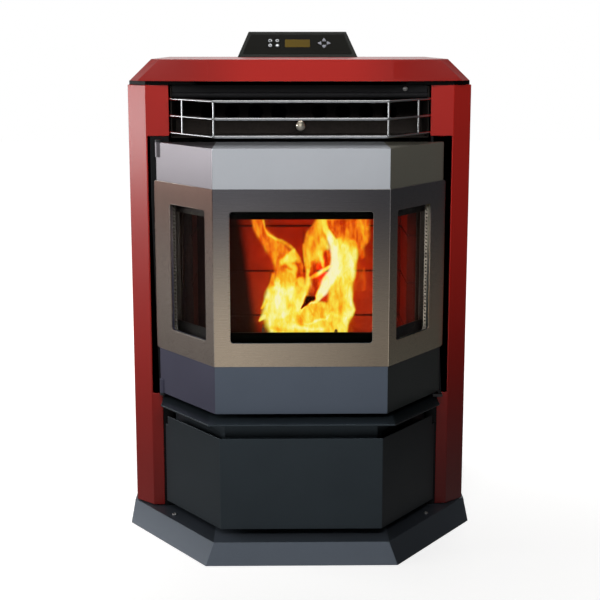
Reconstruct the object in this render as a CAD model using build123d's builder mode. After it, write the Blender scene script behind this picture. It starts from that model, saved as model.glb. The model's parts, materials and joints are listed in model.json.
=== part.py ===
"""Bay-front pellet stove, modelled as the separate pieces it is assembled from.

Millimetres. +X is the right of a person facing the stove, +Y the back, +Z up.
The origin is on the floor, on the centre line, at mid depth of the cabinet.
"""

import os
from math import cos, hypot, radians, sin, sqrt

from build123d import *

os.makedirs("parts", exist_ok=True)

# ---- driving dimensions -------------------------------------------------------

# fits and gaps
seat_gap = 0.3            # clearance where two bodies lie against each other
running_gap = 0.05        # radial clearance of a shaft in its bore
sheet = 2.0               # folded cabinet sheet
firebox_wall = 5.0        # welded firebox plate
door_wall = 4.0           # cast door wall

# cabinet
cabinet_half_width = 286.0
cabinet_front_y = -105.0
cabinet_back_y = 290.0
panel_chamfer = 30.0      # width of the chamfer along the panel's front corner
panel_bottom_z = 33.0
panel_top_z = 754.0
inner_half_width = 248.0  # black inner cabinet
flange_inner_x = 217.0
cabinet_top_z = 761.0

# bay front: every bay facet runs at the same slope, x per y
bay_slope = 0.70
miter = hypot(1, bay_slope) - bay_slope

# base
base_height = 31.0
base_corner_x = 154.0
base_front_y = -305.0
base_half_width = 294.0
base_flare = 24.0
base_side_flare = 4.0
base_sheet = 3.0

# door
door_corner_x = 138.0
door_front_y = -256.0
door_back_y = -114.0
door_bottom_z = 238.0
door_top_z = 662.0
trim_bottom_z = 316.0
trim_top_z = 599.0
trim_sheet = 1.5
trim_half_width = 242.0
trim_corner_radius = 9.0
window_half_width = 112.5
window_bottom_z = 354.0
window_top_z = 564.0
window_radius = 5.0
side_window_start = 22.0   # along the facet, from the bay corner
side_window_width = 108.0
glass_thickness = 4.0
rope_diameter = 8.0
glass_margin = 12.0        # glass beyond the window edge
door_ring_width = 38.0
door_opening_margin = 30.0
notch_gap = 5.0            # above the upper hinge bracket
hinge_x = -233.0
hinge_y = -118.0
hinge_pin_radius = 3.0
hinge_knuckle_radius = 5.6
hinge_knuckle_length = 24.0
hinge_bracket_thickness = 4.0
latch_x = 205.0
latch_y = -128.0
latch_arm = 26.0
rail_reach = 28.5          # how far a glass rail stands over its pane
rail_sheet = 2.0

# firebox
firebox_half_width = 200.0
firebox_bottom_z = 245.0
firebox_top_z = 655.0
firebox_back_y = 50.0
seat_half_width = 221.0
seat_rim = 5.0             # seat plate above and below the firebox
brick_thickness = 15.0
brick_course = 81.0
brick_joint = 3.0
brick_top_z = 585.0
chamber_top_z = 750.0

# heat exchanger
tube_radius = 15.0
tube_wall = 2.0
tube_z = 706.0
tube_pitch = 40.0
tubes_per_side = 4
scraper_travel = 34.0
scraper_sheet = 2.5
scraper_clearance = 6.0
chamber_depth = scraper_travel + scraper_sheet + 2 * (scraper_clearance + firebox_wall)
chamber_front_y = firebox_back_y - chamber_depth
rod_radius = 4.0
rod_z = 692.0
knob_y = -165.0
knob_radius = 8.5

# heat outlet and grille
outlet_half_width = 213.0
outlet_lift = 13.0         # between the firebox and the outlet box
outlet_top_z = 752.0
outlet_back_y = -20.0
valance_bottom_z = 733.0
valance_lip_radius = 5.0
grille_corner_x = 137.0
grille_front_y = -236.0
grille_rod_radius = 1.75
grille_bar_radius = 1.5
grille_levels = (678.3, 705.8, 732.8)
grille_bar_x = 190.0
grille_bend_radius = 8.0

# ledge and ash drawer
ledge_corner_x = 148.0
ledge_front_y = -286.0
ledge_half_width = 233.0
ledge_top_z = 229.0
ledge_sheet = 3.0
apron_corner_x = 124.0
apron_front_y = -238.0
apron_bottom_z = 188.0
drawer_corner_x = 131.0
drawer_front_y = -260.0
drawer_back_y = -112.0
drawer_half_width = 230.0
drawer_bottom_z = 45.0
drawer_top_z = 198.0
pan_half_width = 175.0
pan_back_y = 108.0
pan_bottom_z = 52.0
pan_top_z = 170.0
pan_corner_radius = 10.0
runner_sheet = 2.0
runner_ledge = 14.0

# crown and hopper lid
crown_bottom_z = 761.0
crown_top_z = 796.0
crown_half_width = 281.0
crown_side_y = -90.0
crown_chamfer_x = 266.0
crown_chamfer_y = -112.0
crown_flat_x = 150.0
crown_front_y = -139.0
crown_bevel_x = 35.0
crown_bevel_y = 25.0
crown_rim_width = 43.0
lid_half_width = 190.0
lid_front_y = 4.0
lid_back_y = 200.0
lid_gap = 3.0
lid_corner_radius = 6.0
lid_pan_depth = 6.0
lid_pan_inset = 10.0
gasket_thickness = 4.0
lid_hinge_radius = 2.5
lid_hinge_half_width = 120.0
lid_knuckle_length = 40.0

# hopper
hopper_half_width = 180.0
hopper_front_y = -8.0
hopper_step_y = 66.0
hopper_back_y = 262.0
hopper_waist_z = 602.0
hopper_shoulder_z = 754.0
hopper_slope_z = 772.0
hopper_mouth_half_width = 24.0
hopper_mouth_front_y = 158.0
hopper_mouth_back_y = 206.0
hopper_mouth_z = 494.0

# auger, set at 45 degrees
auger_foot_y = 200.0
auger_foot_z = 400.0
auger_head_y = 40.0
auger_tube_radius = 30.0
auger_tube_wall = 2.5
auger_screw_radius = 26.0
auger_shaft_radius = 8.0
auger_pitch = 52.0
auger_blade = 3.0
gearbox_length = 40.0
gearbox_height = 64.0
gearbox_half_width = 35.0
gear_motor_radius = 26.0
gear_motor_length = 55.0

# burn pot
pot_half_width = 66.0
pot_front_y = -75.0
pot_back_y = 5.0
pot_top_z = 330.0
pot_depth = 62.0
pot_wall = 4.0
pot_hole_radius = 2.5
pot_hole_pitch = 15.0
igniter_radius = 5.0
igniter_length = 70.0

# exhaust blower
exhaust_x = -95.0
exhaust_z = 150.0
exhaust_y = 200.0
exhaust_scroll_radius = 66.0
exhaust_width = 70.0
exhaust_wall = 3.0
exhaust_wheel_radius = 50.0
exhaust_wheel_width = 26.0
exhaust_blades = 10
exhaust_motor_radius = 38.0
exhaust_motor_length = 58.0
exhaust_pipe_radius = 40.0
exhaust_pipe_z = 126.0
exhaust_pipe_length = 50.0
exhaust_pipe_wall = 1.5
spigot_step = 1.5          # inner pipes are this much slimmer than their outside spigots
spigot_start = 2.0         # outside spigots begin this far behind the rear panel

# convection blower
fan_x = 112.0
fan_y = 205.0
fan_z = 130.0
fan_scroll_radius = 66.0
fan_width = 150.0
fan_wall = 2.0
fan_wheel_radius = 50.0
fan_wheel_width = 120.0
fan_blades = 16
fan_motor_radius = 30.0
fan_motor_length = 32.0

# air intake and power inlet
intake_x = 150.0
intake_z = 296.0
intake_radius = 25.0
intake_length = 35.0
intake_wall = 1.5
inlet_x = 215.0
inlet_z = 90.0
inlet_half_width = 24.0
inlet_half_height = 14.0

# control panel
control_bottom_half = 112.0
control_top_half = 92.0
control_front_y = 205.0
control_back_y = 268.0
control_crest_y = 248.0
control_top_z = 843.0
face_sheet = 1.5
face_margin = 7.0
display_width = 47.0
display_height = 19.0
round_key_radius = 4.0
round_key_pitch_x = 13.3
round_key_pitch_y = 12.0
round_key_x = -51.2
arrow_key_radius = 5.4
arrow_key_offset = 7.6
arrow_pad_x = 50.0
key_row_y = 2.5
key_proud = 1.2
key_travel = 0.8
key_depth = 3.0
key_gap = 0.25

# fasteners
screw_head_radius = 4.0
screw_head_height = 2.2
rear_screw_levels = (60.0, 260.0, 480.0, 700.0)
rear_screw_inset = 22.0
base_screw_x = 215.0
base_screw_y = -150.0
valance_screw_x = 173.0
valance_screw_z = 748.0

# small details of the pieces above
crown_side_ease = 0.6      # how far the crown's sides follow its bevel
fold_share = 0.4           # what a folded corner's inner side gains, per sheet
crown_hollow_share = 1.4   # sheets between the crown's outside and its hollow
rim_front_gap = 8.0
rim_back_gap = 12.0
lid_gasket_width = 10.0
lid_gasket_inset = 3.0
display_corner = 1.5
display_lip = 3.0
display_proud = 0.2
round_key_chamfer = 0.4
grille_bar_inset = 1.0
grille_bar_set_back = 1.5
tube_row_gap = 15.0        # half of the extra gap at the middle of the tube row
chamber_step = 10.0        # the upper chamber is narrower than the firebox
pot_floor_share = 1.5      # floor of the tapered pot against its half width
pot_length_share = 0.75
joint_start = 10.0         # first mortar joint above the firebox floor, past one course
stagger_x = 8.0
stagger_step = 60.0
brick_side_gap = 10.0
igniter_height = 18.0
igniter_tail = 20.0
scraper_side_gap = 3.0
scraper_overlap = 8.0
scraper_corner = 6.0
knob_neck_wall = 1.5
knob_neck_length = 6.0
knob_grip = 3.0            # how far the rod ends inside the knob
knob_back_share = 0.85
glass_corner = 3.0
side_glass_share = 1.7     # margins that fit behind the narrow side windows
door_opening_corner = 12.0
door_rope_corner = 20.0
pin_clearance = 4.0
pin_reach = 6.0            # the hinge pins end this short of their knuckles
latch_flange = 2.0
latch_arm_width = 8.0
latch_nut = 3.0
latch_socket = 6.0
latch_socket_depth = 4.0
keeper_gap = 7.0
keeper_width = 6.0
keeper_lip = 5.0
keeper_lip_length = 16.0
apron_gap = 4.0
apron_pass_depth = 12.0
apron_pass = 6.0           # the drawer's back passes this far under the apron
runner_rise = 24.0
runner_overhang = 6.0
screw_back_gap = 45.0      # the auger screw ends this far before its tube does
outlet_start = 30.0
outlet_frame = 4.0
foot_overlap = 12.0        # how far a blower's foot reaches up into its scroll
axle_passage = 12.0
gas_duct_low = 8.0
gas_duct_high = 52.0
gas_duct_half = 36.0
gas_duct_width = 44.0
exhaust_eye_radius = 28.0
impeller_hub_radius = 14.0
impeller_rim = 12.0
blade_sheet = 2.0
axle_overrun = 10.0
fan_ring_width = 12.0
fan_blade_width = 11.0
fan_blade_sheet = 1.5
fan_blade_angle = 30.0
fan_axle_seat = 8.0
inlet_flange = 3.0
inlet_body_inset = 2.5
inlet_well_x = 6.0
inlet_well_z = 4.5
contact_pitch = 9.0
contact_low = 2.0
contact_high = 3.0
contact_width = 5.0
auger_cut_length = 300.0
auger_cut_width = 200.0    # the plumb cut at the auger tube's front end
auger_cut_height = 400.0
trim_cut_length = 200.0    # reach of the cutter that rounds the trim's ends
cut_lead = 10.0            # how far before a face a cutting solid starts
cut_past = 20.0            # how far it runs on past what it cuts


# ---- shared outlines ----------------------------------------------------------

def bay_side_y(corner_x, front_y, side_x):
    """Depth at which a bay facet reaches the half width side_x."""
    return front_y + (side_x - corner_x) / bay_slope


def bay_plan(corner_x, front_y, side_x, back_y, inset=0.0):
    """Plan of a three-faced bay with straight sides, walls moved in by inset."""
    side_y = bay_side_y(corner_x, front_y, side_x)
    with BuildSketch() as plan:
        with BuildLine():
            Polyline(
                (-side_x, back_y),
                (-side_x, side_y),
                (-corner_x, front_y),
                (corner_x, front_y),
                (side_x, side_y),
                (side_x, back_y),
                close=True,
            )
        make_face()
        if inset:
            offset(amount=-inset, kind=Kind.INTERSECTION, mode=Mode.REPLACE)
    return plan.sketch


def crown_plan(bevel_x, bevel_y, inset=0.0):
    """Plan of the red top at a given bevel, its front slightly bayed."""
    side_x = crown_half_width - bevel_x
    chamfer_x = crown_chamfer_x - bevel_x
    with BuildSketch() as plan:
        with BuildLine():
            Polyline(
                (-side_x, cabinet_back_y),
                (-side_x, crown_side_y + bevel_y * crown_side_ease),
                (-chamfer_x, crown_chamfer_y + bevel_y),
                (-crown_flat_x, crown_front_y + bevel_y),
                (crown_flat_x, crown_front_y + bevel_y),
                (chamfer_x, crown_chamfer_y + bevel_y),
                (side_x, crown_side_y + bevel_y * crown_side_ease),
                (side_x, cabinet_back_y),
                close=True,
            )
        make_face()
        if inset:
            offset(amount=-inset, kind=Kind.INTERSECTION, mode=Mode.REPLACE)
    return plan.sketch


def facet_plane(depth, z):
    """Plane on the right bay facet, depth inside its face: x along it, y up."""
    along = Vector(bay_slope, 1, 0).normalized()
    outward = Vector(1, -bay_slope, 0).normalized()
    origin = Vector(door_corner_x, door_front_y, z) - outward * depth
    return Plane(origin=origin, x_dir=along, z_dir=outward)


def ring_path(width, height, radius):
    """Closed path round a rounded rectangle, for a rope gasket."""
    with BuildLine() as path:
        straight_x = width / 2 - radius
        straight_y = height / 2 - radius
        bottom = Line((-straight_x, -height / 2), (straight_x, -height / 2))
        corner = RadiusArc(bottom @ 1, (width / 2, -straight_y), -radius)
        side = Line(corner @ 1, (width / 2, straight_y))
        corner = RadiusArc(side @ 1, (straight_x, height / 2), -radius)
        top = Line(corner @ 1, (-straight_x, height / 2))
        corner = RadiusArc(top @ 1, (-width / 2, straight_y), -radius)
        side = Line(corner @ 1, (-width / 2, -straight_y))
        RadiusArc(side @ 1, bottom @ 0, -radius)
    return path.wire()


def finish(piece, name):
    """Label a finished piece and write it."""
    piece.part.label = name
    export_step(piece.part, f"parts/{name}.step")


# ---- base -----------------------------------------------------------------------

flare_shift = base_flare * miter
deck_corner_x = base_corner_x - flare_shift
deck_front_y = base_front_y + base_flare
deck_half_width = base_half_width - base_side_flare
foot_plan = bay_plan(base_corner_x, base_front_y, base_half_width, cabinet_back_y)
deck_plan = bay_plan(deck_corner_x, deck_front_y, deck_half_width, cabinet_back_y)
foot_hollow = bay_plan(base_corner_x, base_front_y, base_half_width, cabinet_back_y, base_sheet)
deck_hollow = bay_plan(deck_corner_x, deck_front_y, deck_half_width, cabinet_back_y, base_sheet)

with BuildPart() as base_plinth:
    with BuildSketch():
        add(foot_plan)
    with BuildSketch(Plane.XY.offset(base_height)):
        add(deck_plan)
    loft(ruled=True)
    with BuildSketch():
        add(foot_hollow)
    with BuildSketch(Plane.XY.offset(base_height - base_sheet)):
        add(deck_hollow)
    loft(ruled=True, mode=Mode.SUBTRACT)
finish(base_plinth, "base_plinth")

pan_lift = base_flare * base_sheet / base_height
base_pan_plan = bay_plan(
    base_corner_x, base_front_y, base_half_width, cabinet_back_y, base_sheet + pan_lift + seat_gap
)
with BuildPart() as base_pan:
    with BuildSketch():
        add(base_pan_plan)
    extrude(amount=base_sheet)
finish(base_pan, "base_pan")

# ---- inner cabinet ------------------------------------------------------------

cabinet_flange_y = cabinet_front_y + sheet
inner_back_y = cabinet_back_y - sheet

with BuildPart() as cabinet_side_right:
    with BuildSketch(Plane.XY.offset(base_height)):
        with BuildLine():
            Polyline(
                (flange_inner_x, cabinet_flange_y),
                (inner_half_width, cabinet_flange_y),
                (inner_half_width, inner_back_y),
                (inner_half_width - sheet, inner_back_y),
                (inner_half_width - sheet, cabinet_flange_y + sheet),
                (flange_inner_x, cabinet_flange_y + sheet),
                close=True,
            )
        make_face()
    extrude(amount=cabinet_top_z - base_height)
finish(cabinet_side_right, "cabinet_side_right")

with BuildPart() as cabinet_side_left:
    mirror(cabinet_side_right.part, about=Plane.YZ)
finish(cabinet_side_left, "cabinet_side_left")

# red side panels: one folded sheet with a C-shaped cut in its front flange
notch_bottom_z = door_bottom_z - hinge_bracket_thickness - 1
notch_top_z = door_top_z + hinge_bracket_thickness + notch_gap
flange_top_x = 216.0
flange_bottom_x = 235.0
panel_corner_x = cabinet_half_width - panel_chamfer - sheet
flange_notch_x = panel_corner_x - sheet

with BuildPart() as side_panel_right:
    with BuildSketch(Plane.XY.offset(panel_bottom_z)):
        with BuildLine():
            Polyline(
                (flange_top_x, cabinet_front_y),
                (panel_corner_x, cabinet_front_y),
                (cabinet_half_width, cabinet_front_y + panel_chamfer),
                (cabinet_half_width, inner_back_y),
                (inner_half_width, inner_back_y),
                (inner_half_width, inner_back_y - sheet),
                (cabinet_half_width - sheet, inner_back_y - sheet),
                (cabinet_half_width - sheet, cabinet_front_y + panel_chamfer + sheet * fold_share),
                (panel_corner_x - sheet * fold_share, cabinet_flange_y),
                (flange_top_x, cabinet_flange_y),
                close=True,
            )
        make_face()
    extrude(amount=panel_top_z - panel_bottom_z)
    front = Plane.XZ.offset(-cabinet_front_y + sheet)
    with BuildSketch(front):
        with Locations(((flange_top_x + flange_notch_x) / 2 - sheet, (notch_bottom_z + notch_top_z) / 2)):
            Rectangle(flange_notch_x - flange_top_x + 2 * sheet, notch_top_z - notch_bottom_z)
        with Locations((flange_top_x, (panel_bottom_z + notch_bottom_z) / 2)):
            Rectangle(2 * (flange_bottom_x - flange_top_x), notch_bottom_z - panel_bottom_z)
    extrude(amount=-4 * sheet, mode=Mode.SUBTRACT)
finish(side_panel_right, "side_panel_right")

with BuildPart() as side_panel_left:
    mirror(side_panel_right.part, about=Plane.YZ)
finish(side_panel_left, "side_panel_left")

# rear panel with louvres, flue and air holes
louvre_width = 150.0
louvre_height = 7.0
louvre_pitch = 18.0
louvre_rows = 6
louvre_z = 520.0
louvre_x = 105.0
back = Plane.XZ.offset(-inner_back_y)
exhaust_inner_radius = exhaust_pipe_radius - spigot_step
intake_inner_radius = intake_radius - spigot_step

with BuildPart() as rear_panel:
    with BuildSketch(back):
        with Locations((0, (panel_bottom_z + cabinet_top_z) / 2)):
            Rectangle(2 * (cabinet_half_width - sheet), cabinet_top_z - panel_bottom_z)
        with Locations((exhaust_x, exhaust_pipe_z)):
            Circle(exhaust_inner_radius + seat_gap, mode=Mode.SUBTRACT)
        with Locations((intake_x, intake_z)):
            Circle(intake_inner_radius + seat_gap, mode=Mode.SUBTRACT)
        with Locations((inlet_x, inlet_z)):
            Rectangle(2 * inlet_half_width - 4, 2 * inlet_half_height - 4, mode=Mode.SUBTRACT)
        with Locations((-louvre_x, louvre_z), (louvre_x, louvre_z)):
            with GridLocations(0, louvre_pitch, 1, louvre_rows):
                SlotOverall(louvre_width, louvre_height, mode=Mode.SUBTRACT)
    extrude(amount=-sheet)
finish(rear_panel, "rear_panel")

# ---- crown, lid and hopper -----------------------------------------------------

crown_foot = crown_plan(0, 0)
crown_flat = crown_plan(crown_bevel_x, crown_bevel_y)
crown_foot_hollow = crown_plan(0, 0, sheet * crown_hollow_share)
crown_flat_hollow = crown_plan(crown_bevel_x, crown_bevel_y, sheet * crown_hollow_share)
lid_mid_y = (lid_front_y + lid_back_y) / 2
lid_length = lid_back_y - lid_front_y
rim_half_width = crown_half_width - crown_rim_width
rim_front_y = cabinet_flange_y + rim_front_gap
rim_back_y = cabinet_back_y - rim_back_gap

with BuildPart() as top_panel:
    with BuildSketch(Plane.XY.offset(crown_bottom_z)):
        add(crown_foot)
    with BuildSketch(Plane.XY.offset(crown_top_z)):
        add(crown_flat)
    loft(ruled=True)
    with BuildSketch(Plane.XY.offset(crown_bottom_z + sheet)):
        add(crown_foot_hollow)
    with BuildSketch(Plane.XY.offset(crown_top_z - sheet)):
        add(crown_flat_hollow)
    loft(ruled=True, mode=Mode.SUBTRACT)
    with BuildSketch(Plane.XY.offset(crown_bottom_z)):
        with Locations((0, (rim_front_y + rim_back_y) / 2)):
            Rectangle(2 * rim_half_width, rim_back_y - rim_front_y)
    extrude(amount=2 * sheet, mode=Mode.SUBTRACT)
    with BuildSketch(Plane.XY.offset(crown_top_z)):
        with Locations((0, lid_mid_y)):
            RectangleRounded(
                2 * (lid_half_width + lid_gap), lid_length + 2 * lid_gap, lid_corner_radius
            )
    extrude(amount=-2 * sheet, mode=Mode.SUBTRACT)
finish(top_panel, "top_panel")

# the hinge pin lies under the lid's rear edge
lid_pan_bottom_z = crown_top_z - sheet - lid_pan_depth
lid_hinge_y = lid_back_y - 2 * lid_hinge_radius
lid_hinge_z = crown_top_z - sheet - 2 * lid_hinge_radius
lid_pan_back_y = lid_hinge_y - 3 * lid_hinge_radius
lid_pan_front_y = lid_front_y + lid_pan_inset
knuckle_radius = 2 * lid_hinge_radius

with BuildPart() as hopper_lid:
    with BuildSketch(Plane.XY.offset(crown_top_z - sheet)):
        with Locations((0, lid_mid_y)):
            RectangleRounded(2 * lid_half_width, lid_length, lid_corner_radius)
    extrude(amount=sheet)
    with BuildSketch(Plane.XY.offset(lid_pan_bottom_z)):
        with Locations((0, (lid_pan_front_y + lid_pan_back_y) / 2)):
            RectangleRounded(
                2 * (lid_half_width - lid_pan_inset), lid_pan_back_y - lid_pan_front_y, lid_corner_radius
            )
    extrude(amount=lid_pan_depth)
    for side in (-1, 1):
        with BuildSketch(Plane.YZ.offset(side * lid_hinge_half_width)):
            with Locations((lid_hinge_y, lid_hinge_z)):
                Circle(knuckle_radius)
            with Locations((lid_hinge_y, lid_hinge_z + knuckle_radius / 2)):
                Rectangle(2 * lid_hinge_radius, knuckle_radius)
            with Locations((lid_hinge_y, lid_hinge_z)):
                Circle(lid_hinge_radius + running_gap, mode=Mode.SUBTRACT)
        extrude(amount=-side * lid_knuckle_length)
finish(hopper_lid, "hopper_lid")

gasket_front_y = lid_pan_front_y + lid_gasket_inset
gasket_back_y = lid_pan_back_y - lid_gasket_inset
gasket_half_width = lid_half_width - lid_pan_inset - lid_gasket_inset
with BuildPart() as lid_gasket:
    with BuildSketch(Plane.XY.offset(lid_pan_bottom_z - gasket_thickness)):
        with Locations((0, (gasket_front_y + gasket_back_y) / 2)):
            RectangleRounded(2 * gasket_half_width, gasket_back_y - gasket_front_y, lid_corner_radius)
            Rectangle(
                2 * (gasket_half_width - lid_gasket_width),
                gasket_back_y - gasket_front_y - 2 * lid_gasket_width,
                mode=Mode.SUBTRACT,
            )
    extrude(amount=gasket_thickness)
finish(lid_gasket, "lid_gasket")

hopper_top_z = lid_pan_bottom_z - gasket_thickness - seat_gap
fill_half_width = gasket_half_width - lid_gasket_width
fill_front_y = gasket_front_y + lid_gasket_width
fill_back_y = gasket_back_y - lid_gasket_width

with BuildPart() as auger_envelope:
    with BuildSketch(Plane(origin=(0, auger_foot_y, auger_foot_z), x_dir=(1, 0, 0), z_dir=(0, -1, 1))):
        Circle(auger_tube_radius + seat_gap)
    extrude(amount=auger_cut_length)

hopper_mid_y = (hopper_step_y + hopper_back_y) / 2
hopper_length = hopper_back_y - hopper_step_y
mouth_mid_y = (hopper_mouth_front_y + hopper_mouth_back_y) / 2
mouth_length = hopper_mouth_back_y - hopper_mouth_front_y
wall_top_z = hopper_top_z - sheet

with BuildPart() as hopper_cover:
    with BuildSketch(Plane.XY.offset(wall_top_z)):
        with Locations((0, (hopper_front_y + hopper_back_y) / 2)):
            Rectangle(2 * hopper_half_width, hopper_back_y - hopper_front_y)
        with Locations((0, (fill_front_y + fill_back_y) / 2)):
            Rectangle(2 * fill_half_width, fill_back_y - fill_front_y, mode=Mode.SUBTRACT)
    extrude(amount=sheet)

with BuildPart() as hopper_side:
    with BuildSketch(Plane.YZ.offset(hopper_half_width)):
        with BuildLine():
            Polyline(
                (hopper_front_y, wall_top_z),
                (hopper_front_y, hopper_slope_z),
                (hopper_step_y, hopper_shoulder_z),
                (hopper_step_y, hopper_waist_z),
                (hopper_back_y, hopper_waist_z),
                (hopper_back_y, wall_top_z),
                close=True,
            )
        make_face()
    extrude(amount=-sheet)


def cross_sheet(*corners):
    """Sheet from one side of the hopper to the other, from its edge as (y, z) corners."""
    with BuildPart() as cross:
        with BuildSketch(Plane.YZ.offset(sheet - hopper_half_width)):
            with BuildLine():
                Polyline(*corners, close=True)
            make_face()
        extrude(amount=2 * (hopper_half_width - sheet))
    return cross.part


def funnel_sheet(low_centre, low_size, high_centre, high_size):
    """Sloping sheet of the funnel, between its edges at the mouth and at the waist."""
    with BuildPart() as slope:
        with BuildSketch(Plane.XY.offset(hopper_mouth_z)):
            with Locations(low_centre):
                Rectangle(*low_size)
        with BuildSketch(Plane.XY.offset(hopper_waist_z)):
            with Locations(high_centre):
                Rectangle(*high_size)
        loft(ruled=True)
    return slope.part


hopper_lip = cross_sheet(
    (hopper_front_y, wall_top_z),
    (hopper_front_y, hopper_slope_z + sheet),
    (hopper_front_y + sheet, hopper_slope_z + sheet),
    (hopper_front_y + sheet, wall_top_z),
)
hopper_shoulder = cross_sheet(
    (hopper_front_y, hopper_slope_z + sheet),
    (hopper_front_y, hopper_slope_z),
    (hopper_step_y + sheet, hopper_shoulder_z),
    (hopper_step_y + sheet, hopper_shoulder_z + sheet),
)
hopper_front = cross_sheet(
    (hopper_step_y, hopper_waist_z),
    (hopper_step_y + sheet, hopper_waist_z),
    (hopper_step_y + sheet, hopper_shoulder_z),
    (hopper_step_y, hopper_shoulder_z),
)
hopper_back = cross_sheet(
    (hopper_back_y - sheet, hopper_waist_z),
    (hopper_back_y, hopper_waist_z),
    (hopper_back_y, wall_top_z),
    (hopper_back_y - sheet, wall_top_z),
)
funnel_right = funnel_sheet(
    (hopper_mouth_half_width - sheet / 2, mouth_mid_y),
    (sheet, mouth_length - 2 * sheet),
    (hopper_half_width - sheet / 2, hopper_mid_y),
    (sheet, hopper_length - 2 * sheet),
)
funnel_front = funnel_sheet(
    (0, hopper_mouth_front_y + sheet / 2),
    (2 * hopper_mouth_half_width, sheet),
    (0, hopper_step_y + sheet / 2),
    (2 * hopper_half_width, sheet),
)
funnel_back = funnel_sheet(
    (0, hopper_mouth_back_y - sheet / 2),
    (2 * hopper_mouth_half_width, sheet),
    (0, hopper_back_y - sheet / 2),
    (2 * hopper_half_width, sheet),
)

# the throat stands on the auger tube like a saddle
saddle_rise = hypot(1, 1) * sqrt((auger_tube_radius + seat_gap) ** 2 - hopper_mouth_half_width ** 2)
throat_bottom_z = auger_foot_z + auger_foot_y - hopper_mouth_back_y + saddle_rise
with BuildPart() as hopper_throat:
    with BuildSketch(Plane.XY.offset(hopper_mouth_z)):
        with Locations((0, mouth_mid_y)):
            Rectangle(2 * hopper_mouth_half_width, mouth_length)
            Rectangle(
                2 * (hopper_mouth_half_width - sheet), mouth_length - 2 * sheet, mode=Mode.SUBTRACT
            )
    extrude(amount=throat_bottom_z - hopper_mouth_z)
    add(auger_envelope.part, mode=Mode.SUBTRACT)

hopper_bin = Compound(
    [
        hopper_cover.part.solid(),
        hopper_side.part.solid(),
        hopper_side.part.mirror(Plane.YZ).solid(),
        hopper_lip.solid(),
        hopper_shoulder.solid(),
        hopper_front.solid(),
        hopper_back.solid(),
        funnel_right.solid(),
        funnel_right.mirror(Plane.YZ).solid(),
        funnel_front.solid(),
        funnel_back.solid(),
        hopper_throat.part.solid(),
    ],
    label="hopper_bin",
)
export_step(hopper_bin, "parts/hopper_bin.step")

# lid hinge: pin on a leaf that stands on the hopper's top plate
leaf_half_width = lid_hinge_half_width - lid_knuckle_length - 1
leaf_front_y = lid_pan_back_y + 1
leaf_back_y = lid_hinge_y + knuckle_radius - 1
with BuildPart() as lid_hinge:
    with BuildSketch(Plane.YZ.offset(-lid_hinge_half_width)):
        with Locations((lid_hinge_y, lid_hinge_z)):
            Circle(lid_hinge_radius)
    extrude(amount=2 * lid_hinge_half_width)
    with BuildSketch(Plane.YZ.offset(-leaf_half_width)):
        with Locations((lid_hinge_y, lid_hinge_z)):
            Circle(knuckle_radius - seat_gap)
        with Locations((lid_hinge_y, (lid_hinge_z + hopper_top_z) / 2)):
            Rectangle(2 * lid_hinge_radius, lid_hinge_z - hopper_top_z)
        with Locations(((leaf_front_y + leaf_back_y) / 2, hopper_top_z + sheet / 2)):
            Rectangle(leaf_back_y - leaf_front_y, sheet)
    extrude(amount=2 * leaf_half_width)
finish(lid_hinge, "lid_hinge")

# ---- control panel -------------------------------------------------------------

control_rise = control_top_z - crown_top_z
control_run = control_crest_y - control_front_y
face_length = hypot(control_rise, control_run)
face_out = Vector(0, -control_rise, control_run).normalized()
face_centre = Vector(
    0, (control_front_y + control_crest_y) / 2, (crown_top_z + control_top_z) / 2
)


def face_plane(height):
    """Plane over the control panel's sloping face: x across, y up the slope."""
    return Plane(origin=face_centre + face_out * height, x_dir=(1, 0, 0), z_dir=face_out)


def face_outline(margin):
    """Trapezoid of the sloping face, moved in by margin."""
    with BuildSketch() as outline:
        with BuildLine():
            Polyline(
                (-control_bottom_half, -face_length / 2),
                (control_bottom_half, -face_length / 2),
                (control_top_half, face_length / 2),
                (-control_top_half, face_length / 2),
                close=True,
            )
        make_face()
        offset(amount=-margin, kind=Kind.INTERSECTION, mode=Mode.REPLACE)
    return outline.sketch


face_shape = face_outline(face_margin)
key_well = face_outline(2 * face_margin)
round_key_places = [
    (round_key_x + column * round_key_pitch_x, key_row_y + (0.5 - row) * round_key_pitch_y)
    for row in range(2)
    for column in range(2)
]
arrow_key_places = {
    "up": (arrow_pad_x, key_row_y + arrow_key_offset, 90),
    "down": (arrow_pad_x, key_row_y - arrow_key_offset, 270),
    "left": (arrow_pad_x - arrow_key_offset, key_row_y, 180),
    "right": (arrow_pad_x + arrow_key_offset, key_row_y, 0),
}


def arrow_outline(x, y, turn, grow=0.0):
    """Rounded triangle of one arrow key, grown by the gap round it."""
    with BuildSketch() as outline:
        with Locations((x, y)):
            RegularPolygon(arrow_key_radius, 3, rotation=turn)
        fillet(outline.vertices(), 1.2)
        if grow:
            offset(amount=grow, mode=Mode.REPLACE)
    return outline.sketch


well_depth = key_depth + key_travel + seat_gap + face_sheet

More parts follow.
